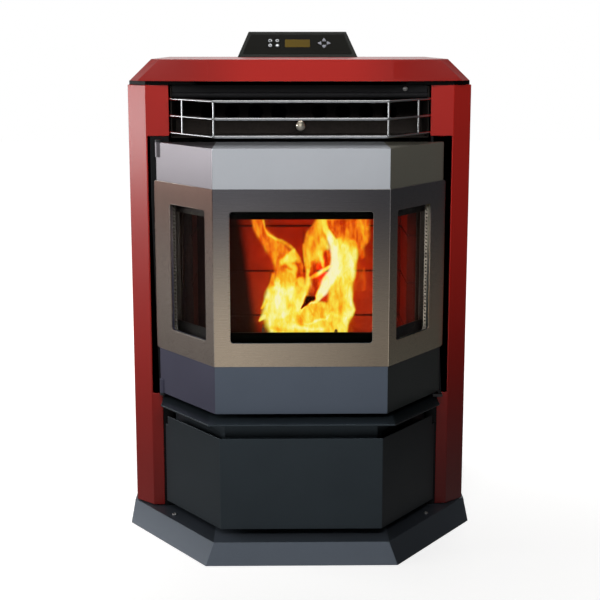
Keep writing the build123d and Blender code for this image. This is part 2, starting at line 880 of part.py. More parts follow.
with BuildPart() as control_housing:
    with BuildSketch(Plane.YZ.offset(-control_bottom_half)):
        with BuildLine():
            Polyline(
                (control_front_y, crown_top_z),
                (control_crest_y, control_top_z),
                (control_back_y, control_top_z),
                (control_back_y, crown_top_z),
                close=True,
            )
        make_face()
    extrude(amount=2 * control_bottom_half)
    with BuildSketch(Plane.XZ.offset(-control_back_y - 1)):
        with BuildLine():
            Polyline(
                (control_bottom_half, crown_top_z),
                (control_top_half, control_top_z),
                (control_bottom_half + 1, control_top_z),
                (control_bottom_half + 1, crown_top_z),
                close=True,
            )
        make_face()
        mirror(about=Plane.YZ)
    extrude(amount=control_back_y - control_front_y + 2, mode=Mode.SUBTRACT)
    fillet(control_housing.edges().filter_by(Axis.X).group_by(Axis.Z)[-1], 4)
    with BuildSketch(face_plane(0)):
        add(face_shape)
    extrude(amount=-face_sheet, mode=Mode.SUBTRACT)
    with BuildSketch(face_plane(-face_sheet)):
        add(key_well)
    extrude(amount=-well_depth + face_sheet, mode=Mode.SUBTRACT)
finish(control_housing, "control_housing")

with BuildPart() as control_face:
    with BuildSketch(face_plane(-face_sheet)):
        add(face_shape)
        with Locations((0, key_row_y)):
            RectangleRounded(display_width, display_height, display_corner, mode=Mode.SUBTRACT)
        with Locations(*round_key_places):
            Circle(round_key_radius + key_gap, mode=Mode.SUBTRACT)
        for x, y, turn in arrow_key_places.values():
            add(arrow_outline(x, y, turn, key_gap), mode=Mode.SUBTRACT)
    extrude(amount=face_sheet)
finish(control_face, "control_face")

with BuildPart() as display_window:
    with BuildSketch(face_plane(-face_sheet)):
        with Locations((0, key_row_y)):
            RectangleRounded(display_width, display_height, display_corner)
    extrude(amount=face_sheet + display_proud)
    with BuildSketch(face_plane(-face_sheet)):
        with Locations((0, key_row_y)):
            Rectangle(display_width + 2 * display_lip, display_height + 2 * display_lip)
    extrude(amount=face_sheet - well_depth)
finish(display_window, "display_window")

for number, place in enumerate(round_key_places, start=1):
    with BuildPart() as round_key:
        with BuildSketch(face_plane(-face_sheet - key_depth)):
            with Locations(place):
                Circle(round_key_radius)
        extrude(amount=face_sheet + key_depth + key_proud)
        chamfer(round_key.edges().group_by(Axis.Y)[0], round_key_chamfer)
    finish(round_key, f"round_key_{number}")

for direction, (x, y, turn) in arrow_key_places.items():
    arrow_shape = arrow_outline(x, y, turn)
    with BuildPart() as arrow_key:
        with BuildSketch(face_plane(-face_sheet - key_depth)):
            add(arrow_shape)
        extrude(amount=face_sheet + key_depth + key_proud)
    finish(arrow_key, f"arrow_key_{direction}")

# ---- heat outlet and grille ------------------------------------------------------

tube_places = [
    (side * (tube_pitch / 2 + tube_row_gap + index * tube_pitch), tube_z)
    for side in (-1, 1)
    for index in range(tubes_per_side)
]
outlet_bottom_z = firebox_top_z + outlet_lift
outlet_height = outlet_top_z - outlet_bottom_z
outlet_mid_z = (outlet_top_z + outlet_bottom_z) / 2

with BuildPart() as heat_outlet_box:
    with BuildSketch(Plane.XZ.offset(-cabinet_flange_y)):
        with Locations((0, outlet_mid_z)):
            Rectangle(2 * outlet_half_width, outlet_height)
            Rectangle(2 * (outlet_half_width - sheet), outlet_height - 2 * sheet, mode=Mode.SUBTRACT)
    extrude(amount=cabinet_flange_y - outlet_back_y)
    with BuildSketch(Plane.XZ.offset(-outlet_back_y)):
        with Locations((0, outlet_mid_z)):
            Rectangle(2 * outlet_half_width, outlet_height)
        with Locations((0, rod_z)):
            Circle(rod_radius + running_gap, mode=Mode.SUBTRACT)
        with Locations(*tube_places):
            Circle(tube_radius + running_gap, mode=Mode.SUBTRACT)
    extrude(amount=sheet)
finish(heat_outlet_box, "heat_outlet_box")

valance_half_width = outlet_half_width - 2 * grille_rod_radius
with BuildPart() as outlet_valance:
    with BuildSketch(Plane.YZ.offset(-valance_half_width)):
        with Locations((cabinet_front_y + sheet / 2, (valance_bottom_z + panel_top_z) / 2)):
            Rectangle(sheet, panel_top_z - valance_bottom_z)
        with Locations((cabinet_front_y, valance_bottom_z + valance_lip_radius)):
            Circle(valance_lip_radius)
        with Locations((cabinet_front_y + sheet + valance_lip_radius, valance_bottom_z + valance_lip_radius)):
            Rectangle(2 * valance_lip_radius, 4 * valance_lip_radius, mode=Mode.SUBTRACT)
    extrude(amount=2 * valance_half_width)
finish(outlet_valance, "outlet_valance")

grille_end_x = outlet_half_width - sheet / 2
grille_side_y = bay_side_y(grille_corner_x, grille_front_y, grille_end_x)


def grille_rod(z):
    """One bent rod of the grille, from the outlet's left edge to its right."""
    with BuildPart() as rod:
        with BuildLine(Plane.XY.offset(z)) as route:
            FilletPolyline(
                (-grille_end_x, cabinet_flange_y),
                (-grille_end_x, grille_side_y),
                (-grille_corner_x, grille_front_y),
                (grille_corner_x, grille_front_y),
                (grille_end_x, grille_side_y),
                (grille_end_x, cabinet_flange_y),
                radius=grille_bend_radius,
            )
        with BuildSketch(Plane(origin=route.line @ 0, z_dir=route.line % 0)):
            Circle(grille_rod_radius)
        sweep()
    return rod.part


grille_bar_y = bay_side_y(grille_corner_x, grille_front_y, grille_bar_x)
grille_bars = [
    (-grille_bar_x, grille_bar_y),
    (-grille_corner_x + grille_bar_inset, grille_front_y + grille_bar_set_back),
    (grille_corner_x - grille_bar_inset, grille_front_y + grille_bar_set_back),
    (grille_bar_x, grille_bar_y),
]
with BuildPart() as grille_rods:
    for level in grille_levels:
        add(grille_rod(level))
    with BuildSketch(Plane.XY.offset(grille_levels[0])):
        with Locations(*grille_bars):
            Circle(grille_bar_radius)
    extrude(amount=grille_levels[-1] - grille_levels[0])
finish(grille_rods, "grille_rods")

# ---- firebox ---------------------------------------------------------------------

seat_bottom_z = firebox_bottom_z - seat_rim
seat_top_z = firebox_top_z + seat_rim
chamber_half_width = firebox_half_width - chamber_step
pot_floor_z = pot_top_z - pot_depth
pot_mid_y = (pot_front_y + pot_back_y) / 2
pot_length = pot_back_y - pot_front_y
pot_floor_width = pot_floor_share * pot_half_width
pot_floor_length = pot_length_share * pot_length
slot_width = pot_floor_width - 2 * pot_wall
slot_length = pot_floor_length - 2 * pot_wall
igniter_z = pot_floor_z + igniter_height
with BuildPart() as firebox_shell:
    with BuildSketch(Plane.XZ.offset(-door_back_y - rope_diameter + 2)):
        with Locations((0, (seat_bottom_z + seat_top_z) / 2)):
            Rectangle(2 * seat_half_width, seat_top_z - seat_bottom_z)
    extrude(amount=-(cabinet_flange_y - door_back_y - rope_diameter + 2))
    with BuildSketch(Plane.XZ.offset(-cabinet_flange_y)):
        with Locations((0, (firebox_bottom_z + firebox_top_z) / 2)):
            Rectangle(2 * firebox_half_width, firebox_top_z - firebox_bottom_z)
    extrude(amount=cabinet_flange_y - firebox_back_y)
    chamber_mid_y = (chamber_front_y + firebox_back_y) / 2
    with BuildSketch(Plane.XY.offset(firebox_top_z - firebox_wall)):
        with Locations((0, chamber_mid_y)):
            Rectangle(2 * chamber_half_width, firebox_back_y - chamber_front_y)
    extrude(amount=chamber_top_z - firebox_top_z + firebox_wall)
    inner_half = firebox_half_width - firebox_wall
    with BuildSketch(Plane.XZ.offset(-door_back_y)):
        with Locations((0, (firebox_bottom_z + firebox_top_z) / 2)):
            Rectangle(2 * inner_half, firebox_top_z - firebox_bottom_z - 2 * firebox_wall)
    extrude(amount=door_back_y - firebox_back_y + firebox_wall, mode=Mode.SUBTRACT)
    with BuildSketch(Plane.XY.offset(firebox_top_z - 2 * firebox_wall)):
        with Locations((0, chamber_mid_y)):
            Rectangle(
                2 * (chamber_half_width - firebox_wall),
                firebox_back_y - chamber_front_y - 2 * firebox_wall,
            )
    extrude(amount=chamber_top_z - firebox_top_z + firebox_wall, mode=Mode.SUBTRACT)
    # tube holes through both walls of the upper chamber, and the rod's hole in its front
    with BuildSketch(Plane.XZ.offset(-firebox_back_y - 1)):
        with Locations(*tube_places):
            Circle(tube_radius + running_gap)
    extrude(amount=firebox_back_y - chamber_front_y + 2, mode=Mode.SUBTRACT)
    with BuildSketch(Plane.XZ.offset(-chamber_front_y + 1)):
        with Locations((0, rod_z)):
            Circle(rod_radius + running_gap)
    extrude(amount=-2 * firebox_wall, mode=Mode.SUBTRACT)
    # pellet drop, igniter, air and ash openings
    add(auger_envelope.part, mode=Mode.SUBTRACT)
    with BuildSketch(Plane.XZ.offset(-firebox_back_y)):
        with Locations((0, igniter_z)):
            Circle(igniter_radius + seat_gap)
        with Locations((intake_x, intake_z)):
            Circle(intake_inner_radius - intake_wall)
    extrude(amount=firebox_wall, mode=Mode.SUBTRACT)
    with BuildSketch(Plane.XY.offset(firebox_bottom_z - 1)):
        with Locations((0, pot_mid_y)):
            Rectangle(slot_width, slot_length)
    extrude(amount=2 * firebox_wall, mode=Mode.SUBTRACT)
finish(firebox_shell, "firebox_shell")

firebox_floor_z = firebox_bottom_z + firebox_wall
brick_back_y = firebox_back_y - firebox_wall
brick_front_y = brick_back_y - brick_thickness
brick_half_width = inner_half - brick_thickness - seat_gap
joint_levels = [
    firebox_floor_z + brick_course * row + joint_start for row in range(1, 4)
]
with BuildPart() as firebrick_back:
    with BuildSketch(Plane.XZ.offset(-brick_back_y)):
        with Locations((0, (firebox_floor_z + brick_top_z) / 2)):
            Rectangle(2 * brick_half_width, brick_top_z - firebox_floor_z)
    extrude(amount=brick_thickness)
    with BuildSketch(Plane.XZ.offset(-brick_front_y)):
        with Locations(*[(0, z) for z in joint_levels]):
            Rectangle(2 * brick_half_width, brick_joint)
        for row, z in enumerate(joint_levels):
            with Locations((stagger_x + stagger_step * (row % 2 - 1), z + brick_course / 2)):
                Rectangle(brick_joint, brick_course)
    extrude(amount=-brick_joint, mode=Mode.SUBTRACT)
    with BuildSketch(Plane.XZ.offset(-brick_back_y)):
        with Locations((0, igniter_z)):
            Circle(igniter_radius + seat_gap)
    extrude(amount=brick_thickness, mode=Mode.SUBTRACT)
    add(auger_envelope.part, mode=Mode.SUBTRACT)
finish(firebrick_back, "firebrick_back")

brick_side_front_y = cabinet_flange_y + brick_side_gap
brick_side_x = inner_half - brick_thickness / 2
brick_side_y = (brick_side_front_y + brick_back_y) / 2
with BuildPart() as firebrick_sides:
    for side in (-1, 1):
        with BuildSketch(Plane.XY.offset(firebox_floor_z)):
            with Locations((side * brick_side_x, brick_side_y)):
                Rectangle(brick_thickness, brick_back_y - brick_side_front_y)
        extrude(amount=brick_top_z - firebox_floor_z)
    for side in (-1, 1):
        with BuildSketch(Plane.YZ.offset(side * (inner_half - brick_thickness))):
            with Locations(*[(brick_side_y, z) for z in joint_levels]):
                Rectangle(brick_back_y - brick_side_front_y, brick_joint)
        extrude(amount=side * brick_joint, mode=Mode.SUBTRACT)
finish(firebrick_sides, "firebrick_sides")

# ---- burn pot and igniter ------------------------------------------------------

with BuildPart() as burn_pot:
    with BuildSketch(Plane.XY.offset(pot_floor_z)):
        with Locations((0, pot_mid_y)):
            Rectangle(pot_floor_width, pot_floor_length)
    with BuildSketch(Plane.XY.offset(pot_top_z)):
        with Locations((0, pot_mid_y)):
            Rectangle(2 * pot_half_width, pot_length)
    loft(ruled=True)
    with BuildSketch(Plane.XY.offset(pot_floor_z + pot_wall)):
        with Locations((0, pot_mid_y)):
            Rectangle(slot_width, slot_length)
    with BuildSketch(Plane.XY.offset(pot_top_z)):
        with Locations((0, pot_mid_y)):
            Rectangle(2 * (pot_half_width - pot_wall), pot_length - 2 * pot_wall)
    loft(ruled=True, mode=Mode.SUBTRACT)
    with BuildSketch(Plane.XY.offset(pot_floor_z)):
        with Locations((0, pot_mid_y)):
            with GridLocations(pot_hole_pitch, pot_hole_pitch, 5, 3):
                Circle(pot_hole_radius)
    extrude(amount=pot_wall, mode=Mode.SUBTRACT)
    # sleeve under the pot, standing on the firebox floor round the ash slot
    with BuildSketch(Plane.XY.offset(firebox_floor_z)):
        with Locations((0, pot_mid_y)):
            Rectangle(pot_floor_width, pot_floor_length)
            Rectangle(slot_width, slot_length, mode=Mode.SUBTRACT)
    extrude(amount=pot_floor_z - firebox_floor_z)
finish(burn_pot, "burn_pot")

with BuildPart() as igniter:
    with BuildSketch(Plane.XZ.offset(-firebox_back_y - igniter_tail)):
        with Locations((0, igniter_z)):
            Circle(igniter_radius)
    extrude(amount=igniter_length)
finish(igniter, "igniter")

# ---- heat exchanger ------------------------------------------------------------

with BuildPart() as exchanger_tubes:
    with BuildSketch(Plane.XZ.offset(-firebox_back_y)):
        with Locations(*tube_places):
            Circle(tube_radius)
            Circle(tube_radius - tube_wall, mode=Mode.SUBTRACT)
    extrude(amount=firebox_back_y - outlet_back_y + sheet)
finish(exchanger_tubes, "exchanger_tubes")

scraper_back_y = firebox_back_y - firebox_wall - scraper_clearance
with BuildPart() as tube_scraper:
    with BuildSketch(Plane.XZ.offset(-scraper_back_y)):
        with Locations((0, tube_z)):
            RectangleRounded(
                2 * (chamber_half_width - firebox_wall - scraper_side_gap),
                2 * (tube_radius + scraper_overlap),
                scraper_corner,
            )
        with Locations(*tube_places):
            Circle(tube_radius + seat_gap, mode=Mode.SUBTRACT)
    extrude(amount=scraper_sheet)
    with BuildSketch(Plane.XZ.offset(-scraper_back_y)):
        with Locations((0, rod_z)):
            Circle(rod_radius)
    extrude(amount=scraper_back_y - knob_y - knob_radius + knob_grip)
finish(tube_scraper, "tube_scraper")

with BuildPart() as scraper_knob:
    with BuildSketch(Plane.YZ):
        with BuildLine():
            knob_front = ThreePointArc(
                (knob_y - knob_radius, rod_z),
                (knob_y - knob_radius * sin(radians(45)), rod_z + knob_radius * cos(radians(45))),
                (knob_y, rod_z + knob_radius),
            )
            knob_back = ThreePointArc(
                knob_front @ 1,
                (knob_y + knob_radius * sin(radians(40)), rod_z + knob_radius * cos(radians(40))),
                (knob_y + knob_radius * knob_back_share, rod_z + rod_radius + knob_neck_wall),
            )
            Polyline(
                knob_back @ 1,
                (knob_y + knob_radius + knob_neck_length, rod_z + rod_radius + knob_neck_wall),
                (knob_y + knob_radius + knob_neck_length, rod_z),
                knob_front @ 0,
            )
        make_face()
    revolve(axis=Axis((0, 0, rod_z), (0, 1, 0)))
    with BuildSketch(Plane.XZ.offset(-knob_y - knob_radius + knob_grip)):
        with Locations((0, rod_z)):
            Circle(rod_radius)
    extrude(amount=-cut_past, mode=Mode.SUBTRACT)
finish(scraper_knob, "scraper_knob")

# ---- door ------------------------------------------------------------------------

door_half_width = door_corner_x + bay_slope * (door_back_y - door_front_y)
door_plan = bay_plan(door_corner_x, door_front_y, door_half_width, door_back_y + 1)
door_hollow = bay_plan(
    door_corner_x, door_front_y, door_half_width + 2 * cut_past, door_back_y + 5 * cut_past, door_wall
)
window_height = window_top_z - window_bottom_z
window_mid_z = (window_top_z + window_bottom_z) / 2
side_window_mid = side_window_start + side_window_width / 2
door_height = door_top_z - door_bottom_z
opening_half_width = door_half_width - door_ring_width
opening_bottom_z = door_bottom_z + door_opening_margin
opening_top_z = door_top_z - door_opening_margin

with BuildPart() as side_window_cut:
    with BuildSketch(facet_plane(-cut_lead, window_mid_z)):
        with Locations((side_window_mid, 0)):
            RectangleRounded(side_window_width, window_height, window_radius)
    extrude(amount=-cut_lead - cut_past)

with BuildPart() as door_frame:
    with BuildSketch(Plane.XY.offset(door_bottom_z)):
        add(door_plan)
    extrude(amount=door_height)
    with BuildSketch(Plane.XY.offset(door_bottom_z + door_wall)):
        add(door_hollow)
    extrude(amount=door_height - 2 * door_wall, mode=Mode.SUBTRACT)
    # trim the back square, then set in the rear ring that carries the rope gasket
    with BuildSketch(Plane.XZ.offset(-door_back_y)):
        with Locations((0, (door_bottom_z + door_top_z) / 2)):
            Rectangle(4 * door_half_width, 2 * door_height)
    extrude(amount=-cut_past, mode=Mode.SUBTRACT)
    with BuildSketch(Plane.XZ.offset(-door_back_y)):
        with Locations((0, (door_bottom_z + door_top_z) / 2)):
            Rectangle(2 * (door_half_width - door_wall), door_height - door_wall)
            RectangleRounded(
                2 * opening_half_width, opening_top_z - opening_bottom_z, door_opening_corner,
                mode=Mode.SUBTRACT,
            )
    extrude(amount=door_wall)
    with BuildSketch(Plane.XZ.offset(-door_front_y + cut_lead)):
        with Locations((0, window_mid_z)):
            RectangleRounded(2 * window_half_width, window_height, window_radius)
    extrude(amount=-cut_past, mode=Mode.SUBTRACT)
    add(side_window_cut.part, mode=Mode.SUBTRACT)
    mirror(side_window_cut.part, about=Plane.YZ, mode=Mode.SUBTRACT)
    # hinge knuckles at both ends of the left edge
    for knuckle_z in (door_bottom_z, door_top_z - hinge_knuckle_length):
        with BuildSketch(Plane.XY.offset(knuckle_z)):
            with Locations((hinge_x, hinge_y)):
                Circle(hinge_knuckle_radius)
        extrude(amount=hinge_knuckle_length)
    with BuildSketch(Plane.XY.offset(door_bottom_z)):
        with Locations((hinge_x, hinge_y)):
            Circle(hinge_pin_radius + running_gap)
        with Locations((latch_x, latch_y)):
            Circle(hinge_knuckle_radius + running_gap)
    extrude(amount=hinge_knuckle_length - pin_clearance, mode=Mode.SUBTRACT)
    with BuildSketch(Plane.XY.offset(door_top_z)):
        with Locations((hinge_x, hinge_y)):
            Circle(hinge_pin_radius + running_gap)
    extrude(amount=pin_clearance - hinge_knuckle_length, mode=Mode.SUBTRACT)
finish(door_frame, "door_frame")

trim_height = trim_top_z - trim_bottom_z
trim_mid_z = (trim_top_z + trim_bottom_z) / 2
trim_corner_x = door_corner_x + trim_sheet * miter
trim_plan = bay_plan(trim_corner_x, door_front_y - trim_sheet, trim_half_width, 0)
trim_hollow = bay_plan(door_corner_x, door_front_y, trim_half_width + 2 * cut_past, 5 * cut_past)
facet_length = hypot(1, bay_slope) * (trim_half_width - door_corner_x) / bay_slope

with BuildPart() as facet_end_cut:
    with BuildSketch(facet_plane(-cut_lead, trim_mid_z)):
        with Locations((facet_length - trim_cut_length / 2, 0)):
            Rectangle(trim_cut_length + 2 * cut_past, trim_height + 2 * cut_past)
            RectangleRounded(trim_cut_length, trim_height, trim_corner_radius, mode=Mode.SUBTRACT)
        Rectangle(2 * facet_length - trim_cut_length, trim_height + 3 * cut_past, mode=Mode.SUBTRACT)
    extrude(amount=-cut_lead - cut_past)

with BuildPart() as door_trim:
    with BuildSketch(Plane.XY.offset(trim_bottom_z)):
        add(trim_plan)
        add(trim_hollow, mode=Mode.SUBTRACT)
    extrude(amount=trim_height)
    with BuildSketch(Plane.XZ.offset(-door_front_y + cut_lead)):
        with Locations((0, window_mid_z)):
            RectangleRounded(2 * window_half_width, window_height, window_radius)
    extrude(amount=-cut_past, mode=Mode.SUBTRACT)
    add(side_window_cut.part, mode=Mode.SUBTRACT)
    mirror(side_window_cut.part, about=Plane.YZ, mode=Mode.SUBTRACT)
    add(facet_end_cut.part, mode=Mode.SUBTRACT)
    mirror(facet_end_cut.part, about=Plane.YZ, mode=Mode.SUBTRACT)
finish(door_trim, "door_trim")

# rope, glass and clips stack up behind each window
rope_depth = door_wall + rope_diameter / 2
glass_depth = door_wall + rope_diameter
glass_height = window_height + 2 * glass_margin
front_rope_plane = Plane(
    origin=(0, door_front_y + rope_depth, window_mid_z), x_dir=(1, 0, 0), z_dir=(0, -1, 0)
)


def rope_ring(plane, width, height, radius, diameter):
    """Closed rope gasket lying in a plane."""
    path = plane.location * ring_path(width, height, radius)
    with BuildPart() as rope:
        with BuildSketch(Plane(origin=path @ 0, z_dir=path % 0)):
            Circle(diameter / 2)
        sweep(path=path)
    return rope.part


rope_inset = rope_diameter / 2
rope_height = window_height + rope_diameter
side_rope_plane = Plane(
    origin=facet_plane(rope_depth, window_mid_z).from_local_coords(Vector(side_window_mid, 0, 0)),
    x_dir=facet_plane(0, 0).x_dir,
    z_dir=facet_plane(0, 0).z_dir,
)
front_rope = rope_ring(
    front_rope_plane, 2 * window_half_width + rope_diameter, rope_height, 2 * rope_inset, rope_diameter
)
side_rope = rope_ring(
    side_rope_plane, side_window_width + rope_diameter, rope_height, 2 * rope_inset, rope_diameter
)
with BuildPart() as glass_gaskets:
    add(front_rope)
    add(side_rope)
    mirror(side_rope, about=Plane.YZ)
finish(glass_gaskets, "glass_gaskets")

with BuildPart() as glass_centre:
    with BuildSketch(Plane.XZ.offset(-door_front_y - glass_depth)):
        with Locations((0, window_mid_z)):
            RectangleRounded(2 * (window_half_width + glass_margin), glass_height, glass_corner)
    extrude(amount=-glass_thickness)
finish(glass_centre, "glass_centre")

with BuildPart() as glass_right:
    with BuildSketch(facet_plane(glass_depth, window_mid_z)):
        with Locations((side_window_mid, 0)):
            RectangleRounded(side_window_width + side_glass_share * glass_margin, glass_height, glass_corner)
    extrude(amount=-glass_thickness)
finish(glass_right, "glass_right")

with BuildPart() as glass_left:
    mirror(glass_right.part, about=Plane.YZ)
finish(glass_left, "glass_left")

# folded rails hold each pane along its top and bottom edges
rail_stack = glass_depth + glass_thickness
rail_rise = glass_height / 2 + seat_gap
front_rail_width = 2 * window_half_width + glass_margin
side_rail_width = side_window_width + glass_margin


def glass_rails(plane_at, middle, width):
    """Upper and lower rail of one pane; plane_at gives the plane at a depth."""
    with BuildPart() as rails:
        for end in (-1, 1):
            with BuildSketch(plane_at(door_wall)):
                with Locations((middle, end * (rail_rise + rail_sheet / 2))):
                    Rectangle(width, rail_sheet)
            extrude(amount=-(rail_stack - door_wall + rail_sheet))
            with BuildSketch(plane_at(rail_stack)):
                with Locations((middle, end * (rail_rise + rail_sheet - rail_reach / 2))):
                    Rectangle(width, rail_reach)
            extrude(amount=-rail_sheet)
    return rails.part


def pane_plane(depth):
    """Plane on the centre pane's side of the door, depth inside its face."""
    return Plane(origin=(0, door_front_y + depth, window_mid_z), x_dir=(1, 0, 0), z_dir=(0, -1, 0))


def side_pane_plane(depth):
    """The same on the right bay facet."""
    return facet_plane(depth, window_mid_z)


front_rails = glass_rails(pane_plane, 0, front_rail_width)
side_rails = glass_rails(side_pane_plane, side_window_mid, side_rail_width)
with BuildPart() as glass_clips:
    add(front_rails)
    add(side_rails)
    mirror(side_rails, about=Plane.YZ)
finish(glass_clips, "glass_clips")

# the door's own rope, pressed flat between the rear ring and the firebox seat
seat_face_y = door_back_y + rope_diameter - 2
door_rope_depth = seat_face_y - door_back_y - seat_gap
door_mid_z = (opening_bottom_z + opening_top_z) / 2
door_rope_margin = 12.0
door_rope_width = 2 * (opening_half_width + door_rope_margin)
door_rope_height = opening_top_z - opening_bottom_z + 2 * door_rope_margin
with BuildPart() as door_gasket:
    with BuildSketch(Plane.XZ.offset(-door_back_y)):
        with Locations((0, door_mid_z)):
            RectangleRounded(door_rope_width, door_rope_height, door_rope_corner)
            RectangleRounded(
                door_rope_width - 2 * rope_diameter,
                door_rope_height - 2 * rope_diameter,
                door_rope_corner - rope_diameter,
                mode=Mode.SUBTRACT,
            )
    extrude(amount=-door_rope_depth)
    fillet(door_gasket.edges().group_by(Axis.Y)[-1], door_rope_depth / 3)
finish(door_gasket, "door_gasket")

# fixed hinge brackets with their pins
with BuildPart() as hinge_brackets:
    for level, up in ((door_bottom_z - seat_gap, 1), (door_top_z + seat_gap, -1)):
        with BuildSketch(Plane.XY.offset(level)):
            with Locations((hinge_x, (hinge_y + cabinet_flange_y) / 2)):
                Rectangle(2 * hinge_knuckle_radius, cabinet_flange_y - hinge_y)
            with Locations((hinge_x, hinge_y)):
                Circle(hinge_knuckle_radius)
        extrude(amount=-up * hinge_bracket_thickness)
        with BuildSketch(Plane.XY.offset(level)):
            with Locations((hinge_x, hinge_y)):
                Circle(hinge_pin_radius)
        extrude(amount=up * (hinge_knuckle_length - pin_reach))
finish(hinge_brackets, "hinge_brackets")

# quarter-turn latch cam under the door's right end, and its keeper
latch_radius = hinge_knuckle_radius
latch_top_z = door_bottom_z - seat_gap
latch_height = 4.4
with BuildPart() as door_latch:
    with BuildSketch(Plane.XY.offset(latch_top_z)):
        with Locations((latch_x, latch_y)):
            Circle(latch_radius + latch_flange)
        with Locations((latch_x, latch_y + latch_arm / 2)):
            Rectangle(latch_arm_width, latch_arm)
    extrude(amount=-latch_height)
    with BuildSketch(Plane.XY.offset(latch_top_z - 1)):
        with Locations((latch_x, latch_y)):
            Circle(latch_radius)
    extrude(amount=door_wall + 1 + 2 * seat_gap)
    with BuildSketch(Plane.XY.offset(door_bottom_z + door_wall + seat_gap)):
        with Locations((latch_x, latch_y)):
            Circle(latch_radius + latch_nut)
    extrude(amount=latch_nut)
    with BuildSketch(Plane.XY.offset(latch_top_z - latch_height)):
        with Locations((latch_x, latch_y)):
            Rectangle(latch_socket, latch_socket)
    extrude(amount=latch_socket_depth, mode=Mode.SUBTRACT)
finish(door_latch, "door_latch")

keeper_x = latch_x + latch_arm + keeper_gap
nose_y = latch_y - latch_arm_width / 2 - seat_gap
with BuildPart() as latch_keeper:
    with BuildSketch(Plane.XY.offset(latch_top_z)):
        with Locations((keeper_x, (cabinet_flange_y + nose_y) / 2)):
            Rectangle(keeper_width, cabinet_flange_y - nose_y)
        with Locations((keeper_x + (keeper_width - keeper_lip_length) / 2, nose_y - keeper_lip / 2)):
            Rectangle(keeper_lip_length, keeper_lip)
    extrude(amount=-latch_height)
finish(latch_keeper, "latch_keeper")

# ---- ledge and ash drawer --------------------------------------------------------

ledge_plan = bay_plan(ledge_corner_x, ledge_front_y, ledge_half_width, cabinet_flange_y)
apron_half_width = flange_inner_x - apron_gap
apron_plan = bay_plan(apron_corner_x, apron_front_y, apron_half_width, cabinet_flange_y)
apron_hollow = bay_plan(apron_corner_x, apron_front_y, apron_half_width, cabinet_flange_y + cut_past, sheet)
with BuildPart() as ledge_shelf:
    with BuildSketch(Plane.XY.offset(ledge_top_z)):
        add(ledge_plan)
    extrude(amount=-ledge_sheet)
    with BuildSketch(Plane.XY.offset(ledge_top_z - ledge_sheet)):
        add(apron_plan)
        add(apron_hollow, mode=Mode.SUBTRACT)
    extrude(amount=apron_bottom_z - ledge_top_z + ledge_sheet)
finish(ledge_shelf, "ledge_shelf")

drawer_plan = bay_plan(drawer_corner_x, drawer_front_y, drawer_half_width, drawer_back_y)
drawer_hollow = bay_plan(drawer_corner_x, drawer_front_y, drawer_half_width, drawer_back_y, sheet)
drawer_height = drawer_top_z - drawer_bottom_z
with BuildPart() as drawer_front:
    with BuildSketch(Plane.XY.offset(drawer_bottom_z)):
        add(drawer_plan)
    extrude(amount=drawer_height)
    with BuildSketch(Plane.XY.offset(drawer_bottom_z + sheet)):
        add(drawer_hollow)
    extrude(amount=drawer_height, mode=Mode.SUBTRACT)
    # the back plate is lower than the front, to pass under the apron
    with BuildSketch(Plane.XY.offset(apron_bottom_z - apron_pass)):
        with Locations((0, drawer_back_y)):
            Rectangle(2 * drawer_half_width + cut_past, 2 * apron_pass_depth)
    extrude(amount=drawer_height, mode=Mode.SUBTRACT)
finish(drawer_front, "drawer_front")

pan_mid_y = (drawer_back_y + pan_back_y) / 2
pan_length = pan_back_y - drawer_back_y
with BuildPart() as ash_pan:
    with BuildSketch(Plane.XY.offset(pan_bottom_z)):
        with Locations((0, pan_mid_y)):
            Rectangle(2 * pan_half_width, pan_length)
    extrude(amount=pan_top_z - pan_bottom_z)
    fillet(ash_pan.edges().filter_by(Axis.Z), pan_corner_radius)
    with BuildSketch(Plane.XY.offset(pan_bottom_z + sheet)):
        with Locations((0, pan_mid_y)):
            RectangleRounded(2 * (pan_half_width - sheet), pan_length - 2 * sheet, pan_corner_radius - sheet)
    extrude(amount=pan_top_z, mode=Mode.SUBTRACT)
finish(ash_pan, "ash_pan")

with BuildPart() as drawer_runners:
    for side in (-1, 1):
        outer_x = pan_half_width + 1 + runner_sheet
        runner_top_z = pan_bottom_z + runner_rise
        with BuildSketch(Plane.XZ.offset(-pan_back_y - runner_overhang)):
            with Locations((side * (outer_x - runner_sheet / 2), (base_height + runner_top_z) / 2)):
                Rectangle(runner_sheet, runner_top_z - base_height)
            with Locations((side * (outer_x - runner_ledge / 2), pan_bottom_z - seat_gap - runner_sheet / 2)):
                Rectangle(runner_ledge, runner_sheet)
        extrude(amount=pan_back_y + runner_overhang - cabinet_flange_y)
finish(drawer_runners, "drawer_runners")

# ---- auger ---------------------------------------------------------------------

auger_length = hypot(auger_foot_y - auger_head_y, auger_foot_y - auger_head_y)
auger_up = Vector(0, -1, 1).normalized()


def auger_plane(distance):
    """Plane square to the auger, distance up from its foot."""
    origin = Vector(0, auger_foot_y, auger_foot_z) + auger_up * distance
    return Plane(origin=origin, x_dir=(1, 0, 0), z_dir=auger_up)


